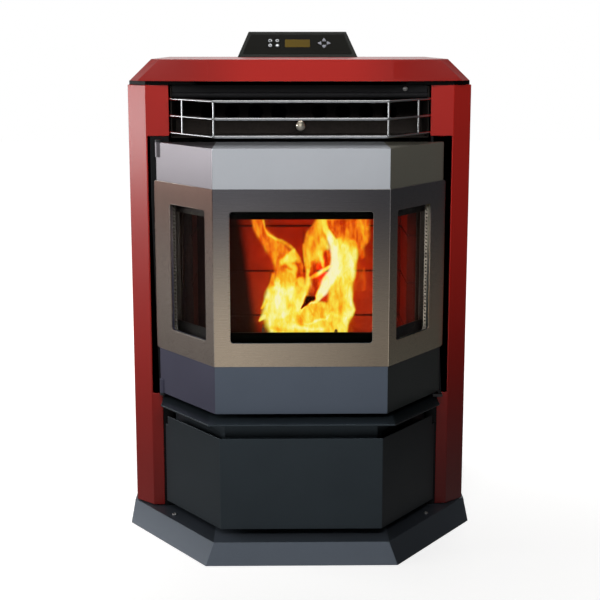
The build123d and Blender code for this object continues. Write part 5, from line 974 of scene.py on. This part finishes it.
# each lick of fire: the softness of its edge, its cover, and the points, given over a zoomed
# crop of the window, in its pixels: across, down, half width, and then the heat
licks = dict(
    haloLeft=(1.5, 0.45, [(560, 1180, 330, 0.40), (620, 900, 270, 0.40), (640, 640, 210, 0.40),
        (500, 380, 170, 0.40), (380, 160, 120, 0.38)]),
    haloRight=(1.5, 0.6, [(1230, 1180, 230, 0.42), (1240, 900, 220, 0.42), (1280, 560, 250, 0.43),
        (1250, 260, 290, 0.42), (1240, 120, 290, 0.42)]),
    leftTongue=(0.4, 1.0, [(318, 20, 20, 0.40), (350, 110, 66, 0.42), (372, 220, 66, 0.46),
        (440, 330, 84, 0.50), (545, 440, 112, 0.54), (622, 560, 130, 0.53), (640, 680, 138, 0.56),
        (650, 800, 150, 0.66)]),
    leftRim=(0.9, 0.8, [(412, 120, 17, 0.66), (432, 240, 20, 0.74), (475, 305, 24, 0.76),
        (600, 345, 22, 0.68), (690, 430, 26, 0.64)]),
    leftFlank=(1.0, 0.7, [(320, 150, 22, 0.48), (400, 330, 26, 0.58), (520, 480, 30, 0.62),
        (560, 620, 34, 0.60)]),
    hook=(0.7, 1.0, [(715, 455, 34, 0.72), (760, 540, 38, 0.60), (792, 628, 20, 0.52)]),
    innerTongue=(0.6, 1.0, [(712, 466, 30, 0.80), (690, 540, 70, 0.80), (630, 582, 56, 0.78),
        (700, 640, 62, 0.74), (700, 740, 60, 0.78)]),
    emberSpot=(0.9, 0.85, [(590, 640, 34, 0.46), (640, 618, 40, 0.44), (684, 642, 22, 0.50)]),
    middleRed=(0.7, 0.95, [(780, 600, 40, 0.39), (775, 690, 52, 0.40), (790, 735, 52, 0.41)]),
    leftBody=(0.35, 1.0, [(650, 760, 110, 0.68), (640, 860, 190, 0.86), (610, 960, 214, 0.92),
        (590, 1080, 205, 0.93), (600, 1180, 190, 0.88), (650, 1300, 190, 0.80)]),
    leftBodyTop=(0.6, 1.0, [(512, 690, 24, 0.50), (504, 780, 28, 0.60), (500, 860, 60, 0.84)]),
    leftFlareA=(0.7, 1.0, [(530, 850, 60, 0.90), (465, 940, 50, 0.88), (398, 1034, 17, 0.64)]),
    leftFlareB=(0.7, 1.0, [(490, 1030, 80, 0.93), (440, 1110, 44, 0.90), (384, 1170, 18, 0.74)]),
    middleFill=(0.5, 1.0, [(790, 770, 70, 0.74), (790, 860, 84, 0.80), (760, 970, 84, 0.84),
        (740, 1080, 70, 0.80)]),
    amberPatch=(1.3, 0.75, [(660, 930, 44, 0.72), (672, 1010, 54, 0.66), (640, 1060, 34, 0.74)]),
    amberPatchB=(1.3, 0.6, [(480, 980, 26, 0.78), (470, 1120, 40, 0.76), (520, 1200, 34, 0.74)]),
    greenDips=(1.2, 0.5, [(735, 770, 18, 0.60), (805, 830, 26, 0.62), (780, 880, 16, 0.66)]),
    whitePatch=(1.4, 0.8, [(560, 850, 60, 0.96), (630, 1060, 60, 0.97), (600, 1120, 60, 0.97)]),
    middleRibbon=(0.8, 1.0, [(822, 400, 26, 0.62), (842, 540, 30, 0.70), (868, 660, 32, 0.74),
        (866, 790, 38, 0.78), (820, 900, 50, 0.84), (770, 1000, 50, 0.88), (745, 1100, 46, 0.84)]),
    tallTongue=(0.45, 1.0, [(862, 590, 44, 0.60), (900, 500, 100, 0.60), (940, 400, 132, 0.60),
        (955, 310, 134, 0.56), (985, 220, 104, 0.58), (1030, 120, 90, 0.66), (1060, 30, 26, 0.56)]),
    tallEdge=(1.0, 0.8, [(836, 500, 24, 0.54), (838, 380, 26, 0.54), (845, 290, 28, 0.50),
        (900, 210, 28, 0.50)]),
    tallYellow=(1.2, 0.85, [(930, 520, 30, 0.74), (965, 420, 60, 0.82), (1000, 350, 66, 0.74),
        (1050, 420, 50, 0.80)]),
    tallAmber=(1.2, 0.8, [(880, 430, 30, 0.56), (910, 330, 44, 0.58), (960, 270, 40, 0.60)]),
    tallFoot=(0.9, 1.0, [(975, 470, 34, 0.80), (990, 540, 30, 0.78), (1006, 604, 16, 0.66)]),
    redGapA=(0.8, 0.95, [(1040, 478, 42, 0.40), (1050, 560, 42, 0.38), (1030, 610, 24, 0.38)]),
    redGapB=(0.8, 0.95, [(915, 560, 26, 0.46), (912, 650, 40, 0.38), (905, 700, 34, 0.38)]),
    redGapC=(0.7, 0.97, [(945, 770, 60, 0.38), (925, 850, 66, 0.35), (905, 890, 60, 0.28)]),
    crossYellow=(0.9, 1.0, [(912, 724, 26, 0.66), (965, 684, 36, 0.82), (1020, 640, 34, 0.84),
        (1070, 606, 24, 0.82)]),
    rightTop=(0.4, 1.0, [(1170, 30, 30, 0.42), (1130, 110, 90, 0.46), (1130, 230, 84, 0.46),
        (1240, 290, 140, 0.48), (1340, 240, 150, 0.46), (1380, 330, 110, 0.52), (1400, 110, 100, 0.46),
        (1420, 20, 30, 0.42)]),
    rightTopLight=(1.3, 0.8, [(1070, 130, 40, 0.66), (1200, 120, 30, 0.62), (1300, 130, 20, 0.54)]),
    rightTopRed=(1.3, 0.8, [(1160, 180, 50, 0.42), (1260, 180, 40, 0.44), (1150, 260, 50, 0.43)]),
    rightTopRim=(1.2, 0.75, [(1385, 120, 30, 0.64), (1400, 260, 30, 0.60), (1440, 370, 30, 0.60)]),
    rightBody=(0.4, 1.0, [(1190, 400, 90, 0.82), (1260, 450, 140, 0.86), (1240, 560, 124, 0.88),
        (1222, 700, 122, 0.85), (1190, 840, 146, 0.78), (1180, 960, 150, 0.76), (1180, 1080, 150, 0.80),
        (1160, 1180, 130, 0.82), (1130, 1300, 150, 0.76)]),
    rightAmber=(1.2, 0.8, [(1200, 330, 70, 0.56), (1290, 380, 70, 0.66), (1370, 400, 60, 0.56)]),
    rightShoulder=(0.8, 1.0, [(1390, 420, 44, 0.54), (1404, 520, 34, 0.47)]),
    rightRim=(0.9, 0.95, [(1330, 470, 36, 0.84), (1298, 640, 36, 0.87), (1284, 820, 36, 0.85),
        (1288, 950, 40, 0.84), (1310, 1050, 32, 0.86), (1266, 1130, 44, 0.90), (1240, 1290, 36, 0.82)]),
    rightAmberCore=(1.2, 0.9, [(1190, 740, 40, 0.70), (1176, 900, 66, 0.62), (1190, 1020, 62, 0.61),
        (1190, 1070, 34, 0.68)]),
    rightStreaks=(1.2, 0.8, [(1080, 880, 26, 0.68), (1075, 980, 34, 0.66), (1090, 1060, 24, 0.72)]),
    rightWhite=(1.2, 0.9, [(1120, 1100, 44, 0.92), (1190, 1150, 60, 0.96), (1244, 1190, 44, 0.94)]),
    ribbon=(0.5, 1.0, [(940, 955, 36, 0.88), (1000, 870, 52, 0.96), (1070, 760, 72, 0.98),
        (1124, 640, 72, 1.0), (1146, 520, 70, 1.0), (1122, 400, 58, 0.98), (1078, 320, 44, 0.92),
        (1042, 240, 36, 0.84), (1030, 150, 36, 0.76), (1030, 100, 36, 0.74), (1016, 30, 10, 0.66)]),
    footBand=(0.35, 1.0, [(570, 1240, 110, 0.78), (760, 1210, 130, 0.76), (960, 1180, 170, 0.74),
        (1130, 1220, 130, 0.76)]),
    footMiddle=(0.4, 1.0, [(800, 1110, 80, 0.72), (870, 1040, 70, 0.72), (960, 1020, 80, 0.74),
        (1040, 1040, 80, 0.74)]),
    footRidge=(0.9, 0.9, [(795, 1066, 18, 0.84), (842, 992, 18, 0.92), (895, 965, 18, 0.93),
        (950, 962, 20, 0.90)]),
    footOrangeA=(1.1, 0.75, [(770, 1120, 40, 0.62), (800, 1220, 44, 0.57)]),
    footOrangeB=(1.1, 0.75, [(1020, 1040, 32, 0.60), (1010, 1120, 36, 0.60)]),
    footOrangeC=(1.1, 0.75, [(1100, 1180, 34, 0.60), (1130, 1260, 36, 0.56)]),
    footOrangeD=(1.1, 0.7, [(490, 1240, 34, 0.64), (630, 1262, 44, 0.58)]),
    footAmber=(1.2, 0.7, [(880, 1050, 30, 0.66), (920, 1110, 34, 0.66), (880, 1160, 26, 0.66)]),
    footYellow=(1.0, 0.9, [(840, 1194, 20, 0.84), (930, 1160, 24, 0.92), (1050, 1130, 22, 0.88),
        (1100, 1060, 20, 0.86)]),
    footPale=(1.1, 0.9, [(690, 1240, 50, 0.95), (760, 1240, 40, 0.93), (900, 1236, 34, 0.90),
        (1040, 1230, 30, 0.84)]),
    # painted shadow: a dark patch of the sheet over the shaded brick between the flames
    paintedShadowGap=(0.7, 1.0, [(920, 925, 30, 0.02), (866, 930, 40, 0.02), (835, 985, 26, 0.03),
        (792, 1034, 11, 0.08)]),
    wisp=(1.6, 0.6, [(1430, 620, 14, 0.50), (1415, 720, 50, 0.56), (1425, 840, 34, 0.50)]),
)
licksInOrder = list(licks.values())
crop = dict(left=-135.7, top=547.8, pixelAcross=0.1747, pixelDown=0.1751, leastWidth=2)


def inMillimetres(points):
    # from the crop's pixels to x, z and half width
    return [
        (
            round(crop["left"] + across * crop["pixelAcross"]), round(crop["top"] - down * crop["pixelDown"]),
            max(crop["leastWidth"], round(width * crop["pixelAcross"])), heat,
        )
        for across, down, width, heat in points
    ]


def lickInside(x, z, points):
    # how far inside a lick each place lies, 1 on its line and 0 at its edge, and the heat there
    inside = np.full(x.shape, -9.0)
    warm = np.zeros(x.shape)
    for start, stop in zip(points, points[1:]):
        startX, startZ, startWidth, startHeat = start
        runX, runZ, moreWidth, moreHeat = (b - a for a, b in zip(start, stop))
        share = np.clip(((x - startX) * runX + (z - startZ) * runZ) / (runX ** 2 + runZ ** 2), 0, 1)
        away = np.hypot(x - startX - share * runX, z - startZ - share * runZ)
        depth = 1 - away / (startWidth + moreWidth * share)
        closer = depth > inside
        inside = np.where(closer, depth, inside)
        warm = np.where(closer, startHeat + moreHeat * share, warm)
    return inside, warm


def swirl(places, *octaves):
    return np.array([noise.fractal(place, *octaves) for place in places])


def flameSheet(name, depth, chosen, seed, turn=0.0, columns=170, rows=200, cool=0.0, narrow=1.0, lower=0.0):
    # a curved sheet of fire, kept only where a lick covers it
    shape = (rows + 1, columns + 1)
    middle, warp = flames["middle"], flames["warp"]
    x, z = np.meshgrid(
        np.linspace(flames["left"], flames["right"], columns + 1),
        np.linspace(flames["foot"], flames["top"], rows + 1),
    )
    places = [Vector((a * flames["waveX"], b * flames["waveZ"], seed)) for a, b in zip(x.flat, z.flat)]
    warpX = swirl(places, 1.0, 2.0, 3).reshape(shape)
    warpZ = swirl([place + Vector((9, 4, 2)) for place in places], 1.0, 2.0, 3).reshape(shape)
    finer = [Vector((p.x * flames["curlX"], p.y * flames["curlZ"], flames["curlSeed"])) for p in places]
    curl = swirl(finer, 0.8, 2.0, 4).reshape(shape)
    fieldX = middle + (x - middle) / narrow + warpX * warp
    fieldZ = z + lower + warpZ * warp
    heat = np.zeros(shape)
    cover = np.zeros(shape)
    for softness, strength, points in chosen:
        inside, warm = lickInside(fieldX, fieldZ, inMillimetres(points))
        edge = np.clip(inside / softness, 0, 1)
        share = edge * edge * (3 - 2 * edge) * strength
        whole = cover * (1 - share) + share
        heat = (heat * cover * (1 - share) + warm * share) / np.maximum(whole, 1e-6)
        cover = whole
    heat = np.clip(heat + curl * flames["streak"] * (heat > flames["streakFrom"]) - cool, 0, 1)
    cover = cover * (1 - cool)
    spin = Matrix.Rotation(math.radians(turn), 3, "Z")
    pivot = Vector((middle, depth, 0))
    bulge = np.sin(x * flames["bowWave"] + seed) * flames["bow"] + warpX * flames["ripple"]
    vertices = [
        (pivot + spin @ Vector((a - middle, out, 0)) + upward * b) * mm
        for a, b, out in zip(x.flat, z.flat, bulge.flat)
    ]
    seen = cover.ravel()
    faces = []
    for row in range(rows):
        for column in range(columns):
            a = row * (columns + 1) + column
            quad = (a, a + 1, a + columns + 2, a + columns + 1)
            if max(seen[i] for i in quad) > flames["leastCover"]:
                faces.append(quad)
    piece = meshObject(name, vertices, faces)
    for label, values in (("warmth", heat), ("cover", cover)):
        piece.data.attributes.new(label, "FLOAT", "POINT").data.foreach_set("value", values.ravel())
    with editing(piece.data) as work:
        bmesh.ops.delete(work, geom=[v for v in work.verts if not v.link_faces], context="VERTS")
        for face in work.faces:
            face.smooth = True
    paint(piece, flameMaterial)
    piece.visible_shadow = False
    return settle(piece, "stove")


flameSheet("flameMain", -35.0, licksInOrder, 3.1)
flameSheet(
    "flameCross", 0.0, licksInOrder[9:], 5.3, turn=82, columns=90, rows=110, cool=0.06, narrow=0.30, lower=46,
)
flameSheet("flameBack", -6.0, licksInOrder[9:20], 7.7, columns=90, rows=110, cool=0.14, narrow=0.8, lower=20)
print("flames raised")

# machinery behind

show(zincSheet, "auger_tube", "exhaust_blower", "convection_blower", "drawer_runners", "auger_screw")
show(zincSheet, "exhaust_impeller", "convection_wheel", "lid_hinge", "ash_pan")
show(motorBlack, "auger_gearmotor")
show(boilerSteel, "hopper_bin")
show(latchSteel, "hinge_brackets", "door_latch", "latch_keeper")
dress("exhaust_pipe", boilerSteel, edge=0.3)
dress("intake_pipe", zincSheet, edge=0.3)
dress("power_inlet", inletPlastic, edge=0.3)


def solidBoxes(nodeName):
    # low and high corner of each separate solid in a node
    work = bmesh.new()
    work.from_mesh(nodes[nodeName].data)
    bmesh.ops.remove_doubles(work, verts=work.verts, dist=mergeWithin)
    left = set(work.verts)
    boxes = []
    while left:
        stack = [left.pop()]
        found = []
        while stack:
            vertex = stack.pop()
            found.append(vertex.co.copy())
            joined = {edge.other_vert(vertex) for edge in vertex.link_edges} & left
            left -= joined
            stack += joined
        boxes.append((Vector(map(min, zip(*found))), Vector(map(max, zip(*found)))))
    work.free()
    return boxes


def makeScrewTree():
    # one screw head on every point of the host, turned to face along its normal
    tree, given, out = geometryTree("screwHeads", ("Head", "Object"), ("Seed", "Int", 4))
    head = put(tree, "GeometryNodeObjectInfo", {"Object": given["Head"]})
    facing = put(tree, "GeometryNodeInputNamedAttribute", {"Name": "facing"}, data_type="FLOAT_VECTOR")
    turn = put(tree, "FunctionNodeAlignRotationToVector", {"Vector": facing.outputs[0]}, axis="Z")
    chance = put(
        tree, "FunctionNodeRandomValue", {"Min": 0.0, "Max": 3.1, "Seed": given["Seed"]}, data_type="FLOAT",
    )
    spin = put(tree, "ShaderNodeCombineXYZ", {"Z": next(s for s in chance.outputs if s.enabled)})
    spun = put(tree, "FunctionNodeEulerToRotation", {"Euler": spin.outputs[0]})
    both = put(
        tree, "FunctionNodeRotateRotation", {"Rotation": turn.outputs[0], "Rotate By": spun.outputs[0]},
        rotation_space="LOCAL",
    )
    placed = put(
        tree, "GeometryNodeInstanceOnPoints",
        {"Points": given["Geometry"], "Instance": head.outputs["Geometry"], "Rotation": both.outputs[0]},
    )
    return closeTree(placed.outputs[0], given, out)


def screwHead(radius, height):
    # domed head with a cross recess, standing on the plane z = 0; shares of the radius and of the height
    head = dict(rings=5, sides=24, middle=0.45, inner=((0.18, 0.45), (0.30, 0.52)), rim=0.42, lift=0.12,
                dome=0.85, reach=0.92, slotStart=0.3, slotEnd=0.75, slotWidth=0.3, slotFloor=0.42)
    sides = head["sides"]
    levels = list(head["inner"])
    for ring in range(head["rings"] + 1):
        part = head["rim"] + (1 - head["rim"]) * ring / head["rings"]
        levels.append((part, math.sqrt(1 - (part * head["reach"]) ** 2) * head["dome"] + head["lift"]))
    levels.append((1.0, 0.0))
    vertices = [(0, 0, height * head["middle"])]
    for part, lift in levels:
        for side in range(sides):
            turn = fullTurn * side / sides
            onArm = abs(math.sin(2 * turn)) < head["slotWidth"]
            dip = head["slotFloor"] if onArm and head["slotStart"] < part < head["slotEnd"] else lift
            vertices.append((radius * part * math.cos(turn), radius * part * math.sin(turn), height * dip))
    faces = [(0, 1 + side, 1 + (side + 1) % sides) for side in range(sides)]
    for ring in range(len(levels) - 1):
        for side in range(sides):
            a = 1 + ring * sides + side
            b = 1 + ring * sides + (side + 1) % sides
            faces.append((a, a + sides, b + sides, b))
    piece = meshObject("screwHeadShape", vertices, faces)
    smoothByAngle(piece.data, 35)
    return piece


def panelScrews():
    screw = dict(radius=4.0, height=2.2, seed=4, smooth=35)
    centre = (cadLow + cadHigh) / 2
    places, facings = [], []
    for low, high in solidBoxes("panel_screws"):
        size = high - low
        axis = min(range(3), key=lambda i: size[i])
        middle = (low + high) / 2
        out = Vector((0, 0, 0))
        out[axis] = 1.0 if axis == 2 or middle[axis] > centre[axis] else -1.0
        places.append(middle - out * size[axis] / 2)
        facings.append(out)
    host = meshObject("screwPoints", places, [])
    layer = host.data.attributes.new("facing", "FLOAT_VECTOR", "POINT")
    layer.data.foreach_set("vector", [c for f in facings for c in f])
    head = screwHead(screw["radius"] * mm, screw["height"] * mm)
    piece = bakeTree(
        host, makeScrewTree(), "panelScrews", screw["smooth"], head=head, seed=screw["seed"],
        material=screwZinc,
    )
    bpy.data.objects.remove(head)
    settle(piece, "stove", ["panel_screws"])


panelScrews()
print("machinery and screws done")


# floor, light and camera

def makeFloor():
    # lifted to white where the camera sees it, with the object's shadow kept
    floor = dict(half=9.0, drop=0.0004, colour=(0.42, 0.415, 0.405), near=0.5, far=1.6, lift=0.78,
                 mirrorFar=5.0, mirrorLow=0.28, mirrorHigh=0.9, rightFrom=-0.1, rightUntil=1.2, right=0.09,
                 leftUntil=-1.2, leftFrom=-0.3, left=0.25)
    half = floor["half"]
    corners = [(x * half, y * half, -floor["drop"]) for x, y in ((-1, -1), (1, -1), (1, 1), (-1, 1))]
    piece = meshObject("floor", corners, [(0, 1, 2, 3)])
    material, tree, shader = newMaterial("paleFloor")
    plug(shader, basecolor=floor["colour"], roughness=0.9, specularIORLevel=0.1)
    path = put(tree, "ShaderNodeLightPath").outputs
    place = objectPlace(tree)
    away = vector("LENGTH", place)
    across = split(place)["X"]
    mirror = product(
        spread(away, floor["near"], floor["mirrorFar"], floor["mirrorLow"], floor["mirrorHigh"]),
        spread(across, floor["rightFrom"], floor["rightUntil"], 1.0, floor["right"]),
        spread(across, floor["leftUntil"], floor["leftFrom"], floor["left"], 1.0),
    )
    seen = calc("MAXIMUM", path["Is Camera Ray"], path["Is Transmission Ray"])
    white = product(seen, spread(away, floor["near"], floor["far"], floor["lift"], 1.0, smooth=True))
    lifted = put(tree, "ShaderNodeEmission", {"Strength": white})
    both = put(tree, "ShaderNodeAddShader", {0: shader.outputs[0], 1: lifted.outputs[0]})
    shown = put(tree, "ShaderNodeEmission", {"Strength": mirror})
    chosen = put(
        tree, "ShaderNodeMixShader", {0: path["Is Glossy Ray"], 1: both.outputs[0], 2: shown.outputs[0]},
    )
    feed(tree.nodes["Material Output"].inputs["Surface"], chosen.outputs[0])
    paint(piece, material)


def makeWorld():
    # white where it is seen, softer where it only lights
    studio = dict(leftUntil=-0.90, leftFrom=-0.25, left=0.40, rightFrom=-0.05, rightUntil=0.75, rightLow=0.11,
                  rightHigh=0.95, aboveFrom=0.15, aboveUntil=0.8, above=0.55, lighting=0.16)
    world = bpy.data.worlds.new("studio")
    scene.world = world
    world.use_nodes = True
    tree = world.node_tree
    path = put(tree, "ShaderNodeLightPath").outputs
    way = split(put(tree, "ShaderNodeTexCoord").outputs["Generated"])
    side = product(
        spread(way["X"], studio["leftUntil"], studio["leftFrom"], studio["left"], 1.0, smooth=True),
        spread(
            way["X"], studio["rightFrom"], studio["rightUntil"], studio["rightHigh"], studio["rightLow"],
            smooth=True,
        ),
        spread(way["Z"], studio["aboveFrom"], studio["aboveUntil"], 1.0, studio["above"], smooth=True),
    )
    seenPlain = calc("MAXIMUM", path["Is Camera Ray"], path["Is Transmission Ray"])
    mirrored = product(path["Is Glossy Ray"], side)
    onlyLit = minus(1.0, calc("MAXIMUM", seenPlain, path["Is Glossy Ray"]))
    strength = total(seenPlain, mirrored, product(onlyLit, side, studio["lighting"]))
    feed(tree.nodes["Background"].inputs["Strength"], strength)
    feed(tree.nodes["Background"].inputs["Color"], (1, 1, 1))


def addLamp(name, place, aim, size, power, spreadAngle=180, mirrored=True):
    data = bpy.data.lights.new(name, "AREA")
    data.shape = "RECTANGLE"
    data.size, data.size_y = size
    data.energy = power
    data.spread = math.radians(spreadAngle)
    lamp = addObject(name, data)
    lamp.location = place
    lamp.rotation_euler = (Vector(aim) - Vector(place)).to_track_quat("-Z", "Y").to_euler()
    lamp.visible_camera = False
    lamp.visible_glossy = mirrored


def fireGlow():
    # the light that the flames throw, itself unseen
    fire = dict(place=(0.03, -0.03, 0.42), power=1.5, colour=(1.0, 0.13, 0.02), size=0.05)
    data = bpy.data.lights.new("fireGlow", "POINT")
    data.energy = fire["power"]
    data.color = fire["colour"]
    data.shadow_soft_size = fire["size"]
    lamp = addObject("fireGlow", data)
    lamp.location = fire["place"]
    lamp.visible_camera = False
    lamp.visible_transmission = False
    lamp.visible_glossy = False


def setCamera():
    camera = dict(place=(-0.0315, -2.305, 0.8213), tilt=-10.97, pan=-0.82, lens=79.44, sensor=36)
    lens = bpy.data.cameras.new("camera")
    lens.lens = camera["lens"]
    lens.sensor_width = camera["sensor"]
    eye = addObject("camera", lens)
    eye.location = camera["place"]
    eye.rotation_euler = (math.radians(90 + camera["tilt"]), 0, math.radians(camera["pan"]))
    scene.camera = eye


makeFloor()
makeWorld()
addLamp("leftBox", (-2.3, 0.15, 1.30), (0, 0, 0.80), (1.6, 1.2), 30, mirrored=False)
# below the level of the red top, so that only upright faces mirror it
addLamp("leftStrip", (-2.3, 0.15, 0.60), (0, 0.15, 0.60), (1.8, 0.36), 17)
addLamp("frontBox", (0.0, -2.0, 1.75), (-0.03, -0.1, 0.94), (1.6, 0.7), 9.6, spreadAngle=52, mirrored=False)
addLamp("topBox", (0.0, 1.0, 2.4), (0, 0.2, 0.8), (1.6, 1.0), 28)
fireGlow()
setCamera()
scene.view_settings.view_transform = "Standard"
print("stage, light and camera set")
